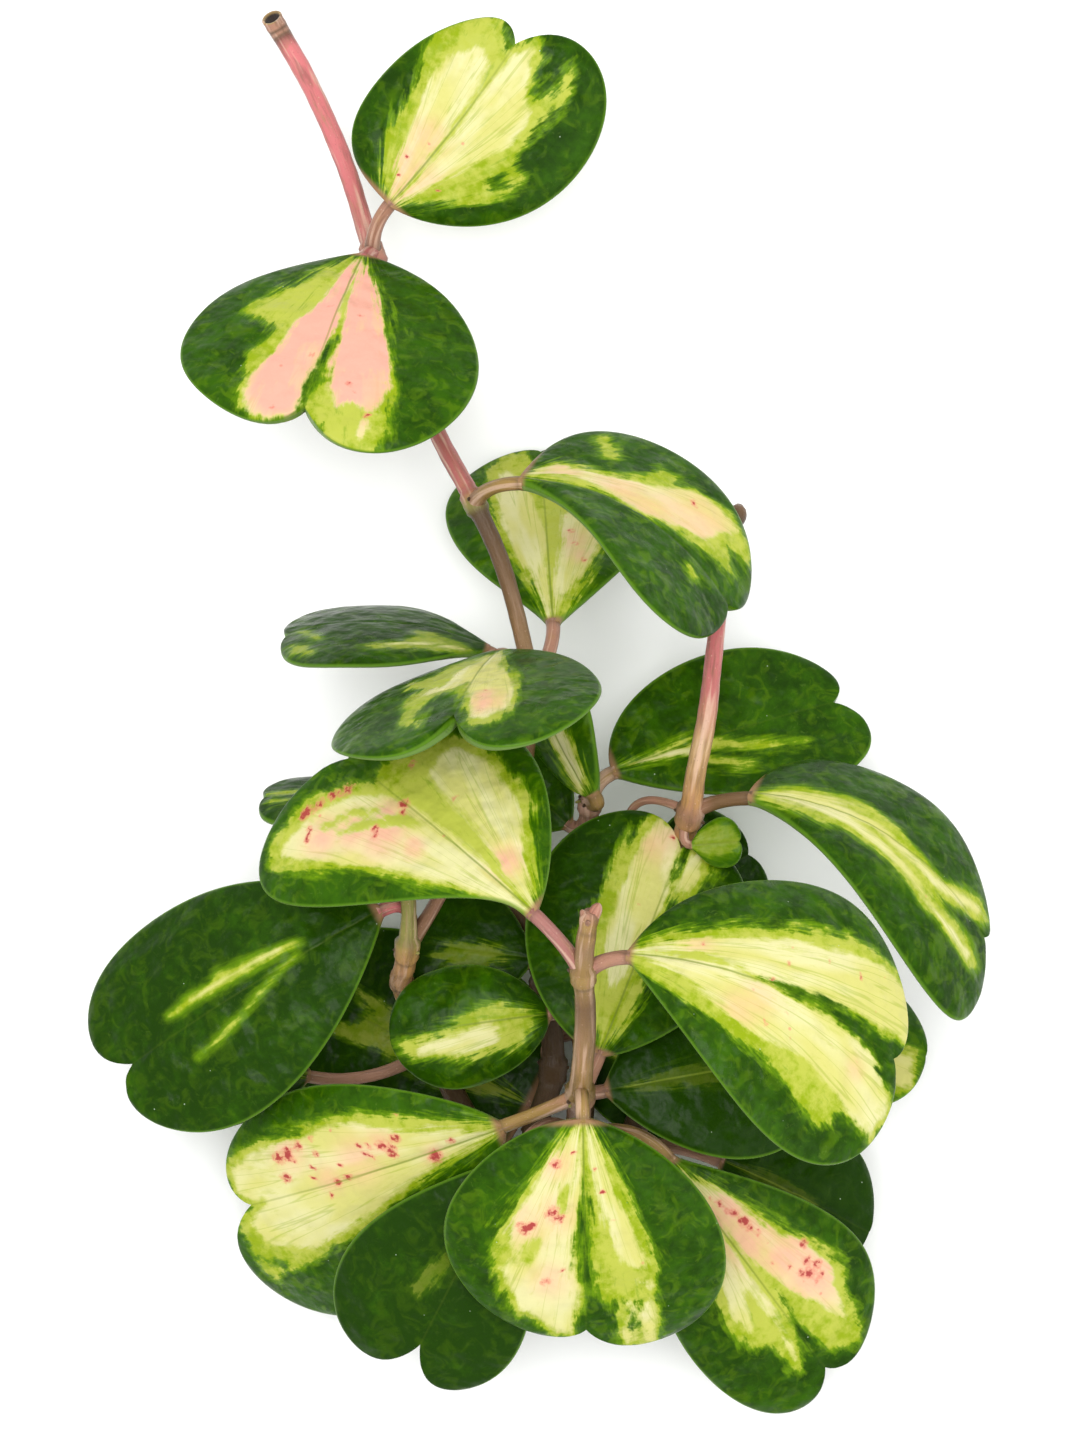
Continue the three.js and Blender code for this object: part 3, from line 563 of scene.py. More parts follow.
# Stems and petioles: mesh steps and forms, in millimetres
STEM_SIDES = 22
STEM_STEP = 1.1
SWELL_SHARE = 0.75  # how much of the solids' swelling a joint has, under its own form
BARK_RADIUS = 3  # of every stem and petiole in the bark's noise
BARK_SHIFT = 3.7
PETIOLE_SHIFT = 5.1
PETIOLE_SIDES = 16
PETIOLE_STEP = 0.9
PETIOLE_SINK = 0.9  # how far it runs into the blade
PETIOLE_SEAT = 1.2  # how far its neck and dark ring lie from its end
PETIOLE_NECK = (0.12, 0.4)
PETIOLE_RING = (0.7, 0.5)
PETIOLE_WAIST, PETIOLE_FOOT, PETIOLE_HEAD = 0.9, 0.42, 0.12  # shares of its radius
FOOT_REACH, HEAD_REACH = 4, 2
PETIOLE_BLEND = 0.45  # the share of its length by which it has the colour at its blade
PETIOLE_SAMPLES = 200
CURVE_SAMPLES = 1200
WAVER = 0.012
WAVER_LENGTHS = (23, 11, 5)
PAINTED_FLANK_SHADE = 0.45  # painted shade: how much darker a stem's flanks are painted than its upper side
CUT_SHOOT, BUDDED_SHOOT, BROKEN_SHOOT = "stem_long_vine", "stem_right_vine", "stem_front"
SMOOTH_JOINTS = ("left_stub",)

# Swellings and dark rings of each form: (place along the shoot, size, span). Joints count along the shoot
# from their own place, and ends count back from theirs.
FORMS = {
    "joint": {
        "swells": [(1.9, 0.5, 0.6), (-2.2, 0.35, 0.6), (3.1, -0.2, 0.5)],
        "rings": [(2.7, 1.0, 0.45), (-3.0, 0.8, 0.4)],
    },
    "smooth joint": {
        "swells": [(0, 0.45, 1.0), (3.5, 0.3, 2.5)],
        "rings": [(1.2, 0.9, 0.35), (-1.2, 0.9, 0.35)],
    },
    "cut end": {
        "swells": [(2.6, 0.35, 0.6), (0, 0.2, 1.2)],
        "rings": [(3.4, 1.0, 0.5)],
    },
    "broken top": {
        "swells": [(4.5, -0.2, 0.9), (1.6, 0.15, 1.0), (0, -0.75, 1.0)],
        "rings": [(5.2, 0.7, 0.4)],
    },
}

# The hollow of the cut end: rings as (share of the radius, place along the stem as a share of the depth)
MOUTH_DEPTH = 2.0
MOUTH_STEPS = ((0.95, 0.1), (0.82, 0.11), (0.7, -0.2), (0.62, -1.0), (0.3, -1.1))
MOUTH_FLOOR = 1.1
CUT_SLANT = 1.0  # how far the cut leans towards the viewer
SLANT_REACH = 7

# Buds and knobs: their rings, as shares of their size
NUB_SIDES = 10
NUB_REACH = np.array([-0.6, 0.0, 0.35, 0.65, 0.88, 1.0])
NUB_RADII = np.array([0.8, 0.8, 0.76, 0.64, 0.4, 0.1])
NUB_LENGTH = 1.6
BUD_COUNT = 3
BUD_SIZES = (0.45, 0.75)
BUD_CLIMBS = (-0.6, 1.2)
BUD_SINK = 0.3

# The brown bud at a shoot's end, and how far back the shoot is thinner
TIP_RADIUS = 2.4
TIP_CENTRE = 3
TIP_HALF = 3.2
POINT_REACH = 0.4
POINT_WIDE = 1.15
POINT_FINE = 0.25
NECK_REACH = 10
NECK_THINNING = 0.25

# Bark colours as seen in the photo, from the shoots' young tips to their old parts
PINK = (0.56, 0.15, 0.155)
ROSE = (0.4, 0.115, 0.105)
MAUVE = (0.34, 0.17, 0.11)
TAN = (0.29, 0.18, 0.05)
BARK = (0.22, 0.13, 0.055)
SAND = (0.46, 0.3, 0.13)
ORANGE = (0.48, 0.25, 0.09)
BROWN = (0.14, 0.075, 0.03)
DARK_BARK = (0.075, 0.042, 0.02)
PLUM = (0.31, 0.125, 0.105)
# painted shade: almost black, laid deep inside the cut end's hollow
HOLLOW_SHADE = (0.02, 0.011, 0.007)
FLESH = (0.38, 0.16, 0.11)
OLIVE = (0.24, 0.23, 0.05)
# the pale flecks of the bark, and the colour of the painted sheen on the stems
PALE_BARK = (0.6, 0.4, 0.3)

# Colour along each shoot: (number of its point in the table, colour)
SHOOT_COLOURS = {
    "stem_crown": [(0, DARK_BARK), (3, DARK_BARK)],
    "stem_front": [
        (0, BROWN), (1.4, BROWN), (1.9, MAUVE), (2.2, TAN), (4, BARK), (5, BROWN), (6, TAN), (7, BARK),
        (7.7, TAN), (8, MAUVE)],
    "stem_long_vine": [
        (0, DARK_BARK), (2, DARK_BARK), (5, BROWN), (6.8, BARK), (7.6, BROWN), (8.8, DARK_BARK), (9, OLIVE),
        (9.15, ROSE), (10.5, ROSE), (11.6, PINK), (12, MAUVE), (12.25, ROSE), (13, PINK), (14.5, PINK),
        (14.7, DARK_BARK), (14.78, MAUVE), (15, MAUVE)],
    "stem_right_vine": [
        (0, DARK_BARK), (2, DARK_BARK), (4.2, ORANGE), (5.7, ORANGE), (6, MAUVE), (6.3, ORANGE), (7.6, SAND),
        (8.4, ROSE), (9.6, PINK), (10.4, ROSE), (10.7, DARK_BARK), (11, BROWN)],
    "stem_left": [
        (0, DARK_BARK), (2, DARK_BARK), (3.7, BROWN), (4.3, ORANGE), (6.3, ORANGE), (7, TAN), (7.3, OLIVE),
        (9, OLIVE)],
    "stem_back": [(0, DARK_BARK), (2, DARK_BARK), (3, BROWN), (4, MAUVE)],
}

# Colour at a petiole's joint and at its blade
PETIOLE_COLOURS = {
    "leaf_top_upper": (DARK_BARK, MAUVE), "leaf_top_pink": (ROSE, ROSE), "leaf_mid_arched": (MAUVE, TAN),
    "leaf_mid_back": (DARK_BARK, MAUVE), "leaf_right_back": (MAUVE, TAN), "leaf_right_arched": (MAUVE, BROWN),
    "leaf_left_large": (PLUM, PLUM), "leaf_right_large": (PLUM, MAUVE), "leaf_front_left": (MAUVE, TAN),
    "leaf_front": (ROSE, TAN), "leaf_centre_cream": (ROSE, MAUVE), "leaf_left_dark": (ORANGE, PINK),
    "leaf_inner_cream": (MAUVE, TAN), "leaf_young_hidden": (MAUVE, MAUVE), "leaf_under_right": (BROWN, MAUVE),
    "leaf_bottom_right": (MAUVE, TAN),
}
PLAIN_PETIOLE = (BROWN, MAUVE)

# What is left of the broken tip: (turn round the stem, size, how far out, colour)
KNOBS = ((0.5, 2.05, 1.0, FLESH), (3.2, 1.15, 1.3, MAUVE), (4.6, 0.9, 1.9, MAUVE))

# Leaf colours
DEEP_GREEN = (0.0095, 0.035, 0.0003)
FULL_GREEN = (0.025, 0.084, 0.0003)
BRIGHT_GREEN = (0.115, 0.23, 0.002)
LIME = (0.22, 0.3, 0.006)
PALE_LIME = (0.37, 0.405, 0.055)
CREAM = (0.51, 0.49, 0.15)
PALE_CREAM = (0.575, 0.55, 0.27)
BLUSH = (0.67, 0.33, 0.25)
SPOT_RED = (0.3, 0.025, 0.03)
SPOT_PINK = (0.58, 0.17, 0.12)
UNDERSIDE = (0.12, 0.2, 0.05)
RIB = (0.15, 0.2, 0.02)
RIM = (0.09, 0.2, 0.01)
SCAR = (0.28, 0.15, 0.08)
CHALK = (0.45, 0.55, 0.4)
# painted sheen: the light grey-green laid on the leaves as a sheen
SHEEN_GREEN = (0.12, 0.21, 0.03)

# The scene round the plant: the camera's place in millimetres, and what it sees at the surface
EYE = np.array([0.5, -3.0, 1800.0]) - MIDDLE
PICTURE_HEIGHT = 362.0
SENSOR = 36.0
FLOOR_HALF = 6.0
WORLD_STRENGTH = 0.97

# Lights, which face the plant: place and disk size in metres, and power in watts
LIGHTS = {"key": ((-0.25, 0.35, 2.6), 1.8, 54), "fill": ((1.5, -0.9, 1.8), 2.0, 14)}


# Leaf shapes
def half_width(leaf, around, side):
    """Half the blade's width on one side, at an angle round its outline (0 at the base, pi at the notch)."""
    taper = leaf["taper"] + side * leaf["bias"]
    most = 2 * ((taper + 1) / (taper + 2)) ** ((taper + 1) / 2) / np.sqrt(taper + 2)
    heart = leaf["width"] * np.cos(around / 2) * np.sin(around / 2) ** (taper + 1) / most
    return np.hypot(heart, leaf["petiole"] * BASE_SHARE * np.cos(around / 2))


def bend(distance, turn, reach):
    """Along and sideways travel and the turn so far, of a line that bends evenly by turn over reach."""
    angle = np.radians(turn) * distance / reach
    straight = np.abs(angle) < STRAIGHT
    safe = np.where(straight, STRAIGHT, angle)
    along = np.where(straight, distance, np.sin(safe) / safe * distance)
    aside = np.where(straight, 0, (1 - np.cos(safe)) / safe * distance)
    return along, aside, angle


def flat_place(leaf, around, across):
    """Where a point of the blade lies in the flat leaf, in millimetres right of and up from the base."""
    side = np.sign(across)
    rise = (1 - np.cos(around)) / 2
    flat_x = across * half_width(leaf, around, side) * (1 + side * leaf["skew"])
    dip = 1 - leaf["notch"] * np.exp(-np.abs(flat_x) / (NOTCH_SPREAD * leaf["width"]))
    flat_y = leaf["length"] * rise * dip * (1 + leaf["lean"] * rise * flat_x / leaf["width"])
    return flat_x, flat_y


def blade_point(leaf, around, across, face, relief=0.0):
    """A point of a blade: face is 1 above and -1 below, and relief lifts the skin in millimetres."""
    side = np.sign(across)
    flat_x, flat_y = flat_place(leaf, around, across)
    ripple = leaf["wave"] * across**2 * np.sin(WAVES * around + SIDE_SHIFT * side)
    level = face * BLADE_THICKNESS * np.sqrt(np.maximum(0, 1 - across**4)) / 2 + ripple + relief
    cross_along, cross_aside, cross_angle = bend(np.abs(flat_x), leaf["cup"], leaf["width"] / 2)
    lateral = side * (cross_along + level * np.sin(cross_angle))
    height = level * np.cos(cross_angle) - cross_aside
    spine_along, spine_aside, spine_angle = bend(flat_y, leaf["arch"], leaf["length"])
    forward = spine_along + height * np.sin(spine_angle)
    swept_along, swept_aside, swept_angle = bend(forward, leaf["sweep"], leaf["length"])
    x = lateral * np.cos(swept_angle) - swept_aside
    y = swept_along + lateral * np.sin(swept_angle)
    return np.stack([x, y, height * np.cos(spine_angle) - spine_aside], -1)


def turn_about(axis, degrees):
    c, s = math.cos(math.radians(degrees)), math.sin(math.radians(degrees))
    rows = {
        "x": [[1, 0, 0], [0, c, -s], [0, s, c]],
        "y": [[c, 0, s], [0, 1, 0], [-s, 0, c]],
        "z": [[c, -s, 0], [s, c, 0], [0, 0, 1]],
    }
    return np.array(rows[axis], float)


def leaf_turn(leaf):
    """Turns a leaf's own axes (x right, y along its chord, z out of its upper face) into the plant's."""
    tip = blade_point(leaf, np.array(math.pi), np.array(0.0), 0).reshape(3)
    tip /= np.linalg.norm(tip)
    axis = np.cross(tip, AHEAD)
    sine, cosine = np.linalg.norm(axis), tip @ AHEAD
    chord = np.eye(3)
    if sine > SMALL:
        x, y, z = axis / sine
        cross = np.array([[0, -z, y], [z, 0, -x], [-y, x, 0]])
        chord = np.eye(3) + sine * cross + (1 - cosine) * cross @ cross
    turned = turn_about("z", leaf["heading"] - 90) @ turn_about("x", leaf["pitch"])
    return turned @ turn_about("y", -leaf["roll"]) @ chord


def leaf_of(name):
    """A leaf's row of the table by name of value, with the plain leaf's values where it has no own ones."""
    *own, rest = LEAVES[name]
    return {**PLAIN_LEAF, **dict(zip(LEAF_COLUMNS, own)), **rest, "name": name}


# Markings on a leaf
def inside_distance(x, y, outline):
    """Distance to a closed outline, positive inside it."""
    nearest = np.full(x.shape, BEYOND)
    inside = np.zeros(x.shape, bool)
    for (ax, ay), (bx, by) in zip(outline, np.roll(outline, -1, 0)):
        dx, dy = bx - ax, by - ay
        share = np.clip(((x - ax) * dx + (y - ay) * dy) / max(dx * dx + dy * dy, SMALL), 0, 1)
        nearest = np.minimum(nearest, np.hypot(x - ax - share * dx, y - ay - share * dy))
        slope = dy if abs(dy) > SMALL else SMALL
        inside ^= ((ay > y) != (by > y)) & (x < ax + (y - ay) * dx / slope)
    return np.where(inside, nearest, -nearest)


def outlines_field(leaf, x, y, outlines):
    """How far inside the nearest of the outlines each point is, in millimetres."""
    field = np.full(x.shape, FAR)
    for outline in outlines:
        corners = np.reshape(outline, (-1, 2)) / 100 * (leaf["width"] / 2, leaf["length"])
        field = np.maximum(field, inside_distance(x, y, corners))
    return field


def spots_field(leaf, x, y, spots, steepness):
    field = np.zeros(x.shape)
    for across, along, radius in spots:
        away = np.hypot(x - across / 100 * leaf["width"] / 2, y - along / 100 * leaf["length"])
        field = np.maximum(field, np.exp(-((away / radius) ** steepness)))
    return field


def marking_fields(leaf, x, y):
    """What the leaf's material reads at each point about its markings."""
    marks = {**PLAIN_MARKS, **MARKS.get(leaf["name"], {})}
    kinds = ("cream", "lime", "green", "pale_lime")
    cream, lime, green, pale_lime = (outlines_field(leaf, x, y, marks[kind]) for kind in kinds)
    return {
        "cream": np.minimum(np.minimum(cream, -green), -pale_lime),
        "lime": np.minimum(np.maximum(lime, cream), -green),
        "lime_strength": np.full(x.shape, marks["lime_strength"]),
        "blush": spots_field(leaf, x, y, marks["blush"], BLUSH_STEEPNESS) * marks["blush_strength"],
        "red": spots_field(leaf, x, y, marks["red"], RED_STEEPNESS),
        "depth": np.full(x.shape, GREEN_DEPTH.get(leaf["name"], PLAIN_DEPTH)),
        "swing": np.full(x.shape, EDGE_SWING.get(leaf["name"], 1.0)),
    }


# Meshes
def make_mesh(name, points, faces, attributes):
    """A smooth mesh. Each attribute has a number or a vector for every point, and tint has a colour."""
    mesh = bpy.data.meshes.new(name)
    mesh.from_pydata((points * MM).tolist(), [], faces)
    for key, values in attributes.items():
        kind, part = ("FLOAT", "value") if values.ndim == 1 else ("FLOAT_VECTOR", "vector")
        if key == "tint":
            kind, part = "FLOAT_COLOR", "color"
            values = np.column_stack([values, np.ones(len(values))])
        mesh.attributes.new(key, kind, "POINT").data.foreach_set(part, values.astype(np.float32).ravel())
    mesh.polygons.foreach_set("use_smooth", np.ones(len(mesh.polygons), bool))
    mesh.validate()
    piece = bpy.data.objects.new(name, mesh)
    bpy.context.scene.collection.objects.link(piece)
    return piece


def closed_faces(rings, sides, first):
    """Faces of a closed skin, wound so that they face out: one point, rings of points and a last point."""
    faces = []
    for ring in range(rings - 1):
        for side in range(sides):
            a = first + 1 + ring * sides + side
            b = first + 1 + ring * sides + (side + 1) % sides
            faces.append((a, b, b + sides, a + sides))
    final = first + 1 + (rings - 1) * sides
    for side in range(sides):
        beside = (side + 1) % sides
        faces.append((first, first + 1 + beside, first + 1 + side))
        faces.append((final + sides, final + side, final + beside))
    return faces


# Leaves
def face_relief(leaf, flat_x, flat_y, across, face, seed):
    """The skin's own relief in millimetres: the midrib's groove, faint veins and soft dimples."""
    rng = np.random.default_rng(seed)
    along = flat_y / leaf["length"]
    aside = np.abs(flat_x)
    edge = 1 - np.abs(across) ** 3
    fade = np.clip(1 - along * GROOVE_FADE, GROOVE_LEAST, 1) * np.clip(along * GROOVE_START, 0, 1)
    groove = -MIDRIB_GROOVE * np.exp(-((flat_x / MIDRIB_WIDTH) ** 2)) * fade
    climb = along * VEIN_COUNT - aside / leaf["width"] * 2 * VEIN_COUNT * VEIN_SLANT
    line = np.exp(-(((climb - np.round(climb)) / VEIN_WIDTH) ** 2))
    veins = -VEIN_RELIEF * line * edge * np.clip(aside / VEIN_START, 0, 1)
    soft = np.zeros(flat_x.shape)
    for wavelength in DIMPLE_LENGTHS:
        for _ in range(DIMPLE_WAVES):
            heading = rng.uniform(0, math.pi)
            phase = rng.uniform(0, 2 * math.pi)
            travel = flat_x * math.cos(heading) + flat_y * math.sin(heading)
            wave = np.sin(2 * math.pi * travel / wavelength + phase)
            soft += wave * (wavelength / DIMPLE_LENGTHS[0]) ** DIMPLE_FALL
    soft *= DIMPLE * QUILT.get(leaf["name"], 1.0) * edge * np.clip(along * DIMPLE_START, 0, 1)
    return np.where(face > 0, groove + veins, -groove * RIDGE_SHARE) + soft


def blade_grid():
    """Angle round the outline, place across and face of each point of a blade, and the points in a row."""
    upper = np.concatenate([-HALF[::-1], HALF[1:]])
    across = np.concatenate([upper[::-1], upper[1:-1]])
    face = np.concatenate([np.full(len(upper), -1.0), np.full(len(upper) - 2, 1.0)])
    around = np.linspace(0, math.pi, ROWS + 1)[:-1]
    around = around + ROW_CROWDING * np.sin(2 * around)
    grids = np.meshgrid(around, across, indexing="ij")
    rows = (grids[0], grids[1], np.broadcast_to(face, grids[0].shape))
    ends = ((0, math.pi), (0, 0), (0, 0))
    columns = [np.concatenate([[first], grid.ravel(), [last]]) for grid, (first, last) in zip(rows, ends)]
    return *columns, len(across)


def blade_fields(leaf, around, across, face, seed):
    """All that the leaf's material reads at each point of a blade."""
    flat_x, flat_y = flat_place(leaf, around, across)
    fields = marking_fields(leaf, flat_x, flat_y)
    fields["under"] = (face < 0).astype(float)
    fields["rim"] = np.minimum(half_width(leaf, around, np.sign(across)) * (1 - np.abs(across)), RIM_REACH)
    fields["midrib"] = flat_x
    fields["along"] = flat_y / leaf["length"]
    shift = seed * NOISE_SHIFT
    away = np.hypot(flat_x, flat_y + FAN_START)
    angle = np.arctan2(flat_x, flat_y + FAN_START)
    flow = [angle * FLOW_ACROSS + shift, away / FLOW_ALONG + shift, face * 0.0 + shift]
    fields["flow"] = np.stack(flow, -1)
    place = [flat_x + shift * PLACE_SHIFTS[0], flat_y + shift * PLACE_SHIFTS[1], (face < 0) * UNDER_SHIFT]
    fields["place"] = np.stack(place, -1)
    return fields


def make_leaf(name, seed):
    leaf = leaf_of(name)
    around, across, face, sides = blade_grid()
    flat_x, flat_y = flat_place(leaf, around, across)
    relief = face_relief(leaf, flat_x, flat_y, across, face, seed) * (face != 0)
    relief[np.abs(across) > AT_RIM] = 0
    points = blade_point(leaf, around, across, face, relief) @ leaf_turn(leaf).T
    points = points + np.array(leaf["base"]) - MIDDLE
    if leaf["rests"]:
        points[:, 2] = np.maximum(points[:, 2], 0.0)
    fields = blade_fields(leaf, around, across, face, seed)
    piece = make_mesh(name + "_blade", points, closed_faces(ROWS, sides, 0), fields)
    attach(piece, "root")
    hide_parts(name)
    return piece


# Curves of the stems
def catmull_points(points, shares):
    """Points of the same smooth curve as in the solids, at shares of its parameter."""
    last = len(points) - 1
    place = np.clip(shares, 0, 1) * last
    index = np.minimum(place.astype(int), last - 1)
    weight = (place - index)[:, None]
    one, two = points[index], points[index + 1]
    before = np.where((index > 0)[:, None], points[index - 1], 2 * points[0] - points[1])
    beyond = 2 * points[last] - points[last - 1]
    after = np.where((index + 2 <= last)[:, None], points[np.minimum(index + 2, last)], beyond)
    gaps = [np.linalg.norm(b - a, axis=1) for a, b in ((before, one), (one, two), (two, after))]
    gap0, gap1, gap2 = (np.maximum(gap, SMALL)[:, None] ** 0.5 for gap in gaps)
    lead = ((one - before) / gap0 - (two - before) / (gap0 + gap1) + (two - one) / gap1) * gap1
    trail = ((two - one) / gap1 - (after - one) / (gap1 + gap2) + (after - two) / gap2) * gap1
    square = -3 * one + 3 * two - 2 * lead - trail
    cube = 2 * one - 2 * two + lead + trail
    return one + lead * weight + square * weight**2 + cube * weight**3


def travel_along(places):
    """How far each place is along the line through them all."""
    return np.concatenate([[0], np.cumsum(np.linalg.norm(np.diff(places, axis=0), axis=1))])


def even_curve(points, step):
    """The curve at even steps: its places, the parameter share of each and how far along it they are."""
    shares = np.linspace(0, 1, CURVE_SAMPLES)
    travel = travel_along(catmull_points(points, shares))
    count = max(2, math.ceil(travel[-1] / step))
    wanted = np.linspace(0, travel[-1], count + 1)
    share = np.interp(wanted, travel, shares)
    return catmull_points(points, share), share, wanted


def carried_frames(places):
    """Two directions square to a curve at each of its places, carried along it without twist."""
    tangents = np.gradient(places, axis=0)
    tangents /= np.linalg.norm(tangents, axis=1)[:, None]
    start = np.cross(tangents[0], [0, 0, 1.0])
    if np.linalg.norm(start) < UPRIGHT:
        start = np.cross(tangents[0], AHEAD)
    normal = start / np.linalg.norm(start)
    normals = []
    for tangent in tangents:
        normal = normal - tangent * (normal @ tangent)
        normal /= np.linalg.norm(normal)
        normals.append(normal)
    return np.array(normals), np.cross(tangents, normals)


# Stems
class Tubes:
    """Gathers tubes into one mesh, with a colour, a bark place and a ring's darkness for each point."""

    def __init__(self):
        self.points, self.faces, self.tints, self.barks, self.marks = [], [], [], [], []
        self.count = 0

    def add(self, places, radii, colours, sides, marks=0.0, mouth=0.0, offset=0.0):
        """A closed tube. A mouth above 0 hollows its far end by that depth and slants it up to the viewer."""
        normals, sideways = carried_frames(places)
        turns = 2 * math.pi * np.arange(sides) / sides
        ring = np.cos(turns)[:, None] * normals[:, None] + np.sin(turns)[:, None] * sideways[:, None]
        travel = travel_along(places)
        ahead = (places[-1] - places[-2]) / np.linalg.norm(places[-1] - places[-2])
        slant = np.clip((travel - travel[-1] + SLANT_REACH) / SLANT_REACH, 0, 1) * (CUT_SLANT if mouth else 0)
        push = -ring[..., 2:] * (radii * slant)[:, None, None]
        rows = list(places[:, None] + ring * radii[:, None, None] + ahead * push)
        # painted shade: the colour darkens round the tube from its upper side to its flanks and underside
        painted_flank_shade = PAINTED_FLANK_SHADE * (1 - np.clip(ring[..., 2:], 0, 1)) ** 2
        tints = list(colours[:, None] * (1 - painted_flank_shade))
        for share, depth in MOUTH_STEPS if mouth else ():
            inner = ring[-1] * radii[-1] * share
            rows.append(places[-1] + ahead * (depth * mouth - inner[:, 2:] * CUT_SLANT) + inner)
            # painted shade: the hollow's inner rings are painted almost black, while the rings at its lip
            # take the cut's tan
            tints.append(np.tile(TAN if depth > 0 else HOLLOW_SHADE, (sides, 1)))
        far = places[-1] - ahead * mouth * MOUTH_FLOOR
        added = len(rows) - len(places)
        dark = np.repeat(np.append(np.broadcast_to(marks, len(places)), np.zeros(added)), sides)
        along = np.repeat(np.append(travel, np.full(added, travel[-1])), sides)
        swing = np.tile(turns, len(rows))
        bark = np.column_stack([np.cos(swing) * BARK_RADIUS, np.sin(swing) * BARK_RADIUS, along]) + offset
        tint = np.concatenate(tints)
        self.faces += closed_faces(len(rows), sides, self.count)
        self.points.append(np.concatenate([places[:1], *rows, [far]]))
        for gathered, values in ((self.tints, tint), (self.barks, bark), (self.marks, dark)):
            gathered.append(np.concatenate([values[:1], values, values[-1:]]))
        self.count += len(self.points[-1])

    def build(self, name):
        gathered = {"mark": self.marks, "bark": self.barks, "tint": self.tints}
        attributes = {key: np.concatenate(parts) for key, parts in gathered.items()}
        return make_mesh(name, np.concatenate(self.points), self.faces, attributes)


def blended(stops, shares):
    """Colours at shares between stops, each of them a place and a colour."""
    keys, colours = zip(*stops)
    return np.stack([np.interp(shares, keys, part) for part in zip(*colours)], -1)


def bump_at(distance, size, span):
    return size * np.exp(-((distance / span) ** 2))


class Shoot:
    """A shoot's curve in even steps, with its thickness and its dark rings."""

    def __init__(self, name):
        points = np.array(SHOOTS[name]["points"], float) - (*MIDDLE, 0)
        self.places, share, self.travel = even_curve(points[:, :3], STEM_STEP)
        self.stops = share * (len(points) - 1)
        self.radii = np.interp(self.stops, np.arange(len(points)), points[:, 3])
        self.marks = np.zeros(len(self.places))
        self.normals, self.sideways = carried_frames(self.places)

    def outwards(self, step, turn):
        return self.normals[step] * math.cos(turn) + self.sideways[step] * math.sin(turn)

    def swell(self, distance, size, span):
        self.radii = self.radii + bump_at(distance, size, span)

    def shape_by(self, form, distance):
        """Adds the swellings and dark rings of a form, at distances from its own place."""
        for place, size, span in FORMS[form]["swells"]:
            self.swell(distance - place, size, span)
        for place, darkness, span in FORMS[form]["rings"]:
            self.marks = np.maximum(self.marks, bump_at(distance - place, darkness, span))


def nub(shape, start, way, size, colour):
    """A small blunt bud standing on a stem."""
    way = way / np.linalg.norm(way)
    places = start + way * (NUB_REACH * size * NUB_LENGTH)[:, None]
    shape.add(places, size * NUB_RADII, np.tile(colour, (len(places), 1)), NUB_SIDES)


def add_buds(shape, shoot, step, rng):
    """The buds round a joint, the first of them green."""
    step_after = min(step + 1, len(shoot.places) - 1)
    for number in range(BUD_COUNT):
        out = shoot.outwards(step, rng.uniform(0, 2 * math.pi))
        size = rng.uniform(*BUD_SIZES)
        root = shoot.places[step] + out * (shoot.radii[step] - BUD_SINK)
        climb = (shoot.places[step_after] - shoot.places[step]) * rng.uniform(*BUD_CLIMBS)
        nub(shape, root + climb, out + climb, size, DARK_BARK if number else OLIVE)


def add_knobs(shape, shoot):
    """What is left of the tip that broke off."""
    step = shoot.places[-1] - shoot.places[-2]
    for turn, size, reach, colour in KNOBS:
        out = shoot.outwards(-2, turn)
        root = shoot.places[-2] + step * (1.0 - reach) + out * reach
        nub(shape, root, out * 0.4 * reach + step, size, colour)


def end_in_bud(shoot, left):
    """Thins a shoot towards its end and ends it in a brown bud, with a small point."""
    bud = np.sqrt(np.clip(1 - ((left - TIP_CENTRE) / TIP_HALF) ** 2, 0, 1)) * TIP_RADIUS
    tip = np.maximum(bud, np.where(left > POINT_REACH, POINT_WIDE, POINT_FINE))
    neck = shoot.radii * (1 - NECK_THINNING * (left < NECK_REACH))
    shoot.radii = np.where(left < TIP_CENTRE + TIP_HALF, tip, neck)


def make_stem(name, seed):
    shape = Tubes()
    shoot = Shoot(name)
    rng = np.random.default_rng(seed)
    joints = {key: np.array(place, float) - MIDDLE for key, place in SHOOTS[name]["joints"].items()}
    for joint_name, joint in joints.items():
        away = np.linalg.norm(shoot.places - joint, axis=1)
        nearest = away.argmin()
        lift = shoot.travel - shoot.travel[nearest]
        if joint_name in SMOOTH_JOINTS:
            shoot.shape_by("smooth joint", lift)
        else:
            shoot.swell(away, NODE_SWELL * SWELL_SHARE, NODE_SPAN)
            shoot.shape_by("joint", lift)
            add_buds(shape, shoot, nearest, rng)
    for wavelength in WAVER_LENGTHS:
        phase = rng.uniform(0, 6.3)
        shoot.radii = shoot.radii * (1 + WAVER * np.sin(2 * math.pi * shoot.travel / wavelength + phase))
    left = shoot.travel[-1] - shoot.travel
    if name == CUT_SHOOT:
        shoot.shape_by("cut end", left)
    if name == BUDDED_SHOOT:
        end_in_bud(shoot, left)
    if name == BROKEN_SHOOT:
        shoot.shape_by("broken top", left)
        add_knobs(shape, shoot)
    colours = blended(SHOOT_COLOURS[name], shoot.stops)
    mouth = MOUTH_DEPTH if name == CUT_SHOOT else 0.0
    shape.add(shoot.places, shoot.radii, colours, STEM_SIDES, shoot.marks, mouth, seed * BARK_SHIFT)

    for leaf_name in LEAVES:
        joint_name = leaf_of(leaf_name)["joint"]
        if joint_name in joints:
            add_petiole(shape, leaf_name, joints[joint_name], seed * PETIOLE_SHIFT + len(leaf_name))
    piece = shape.build(name + "_bark")
    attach(piece, "root")
    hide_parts(name)
    return piece


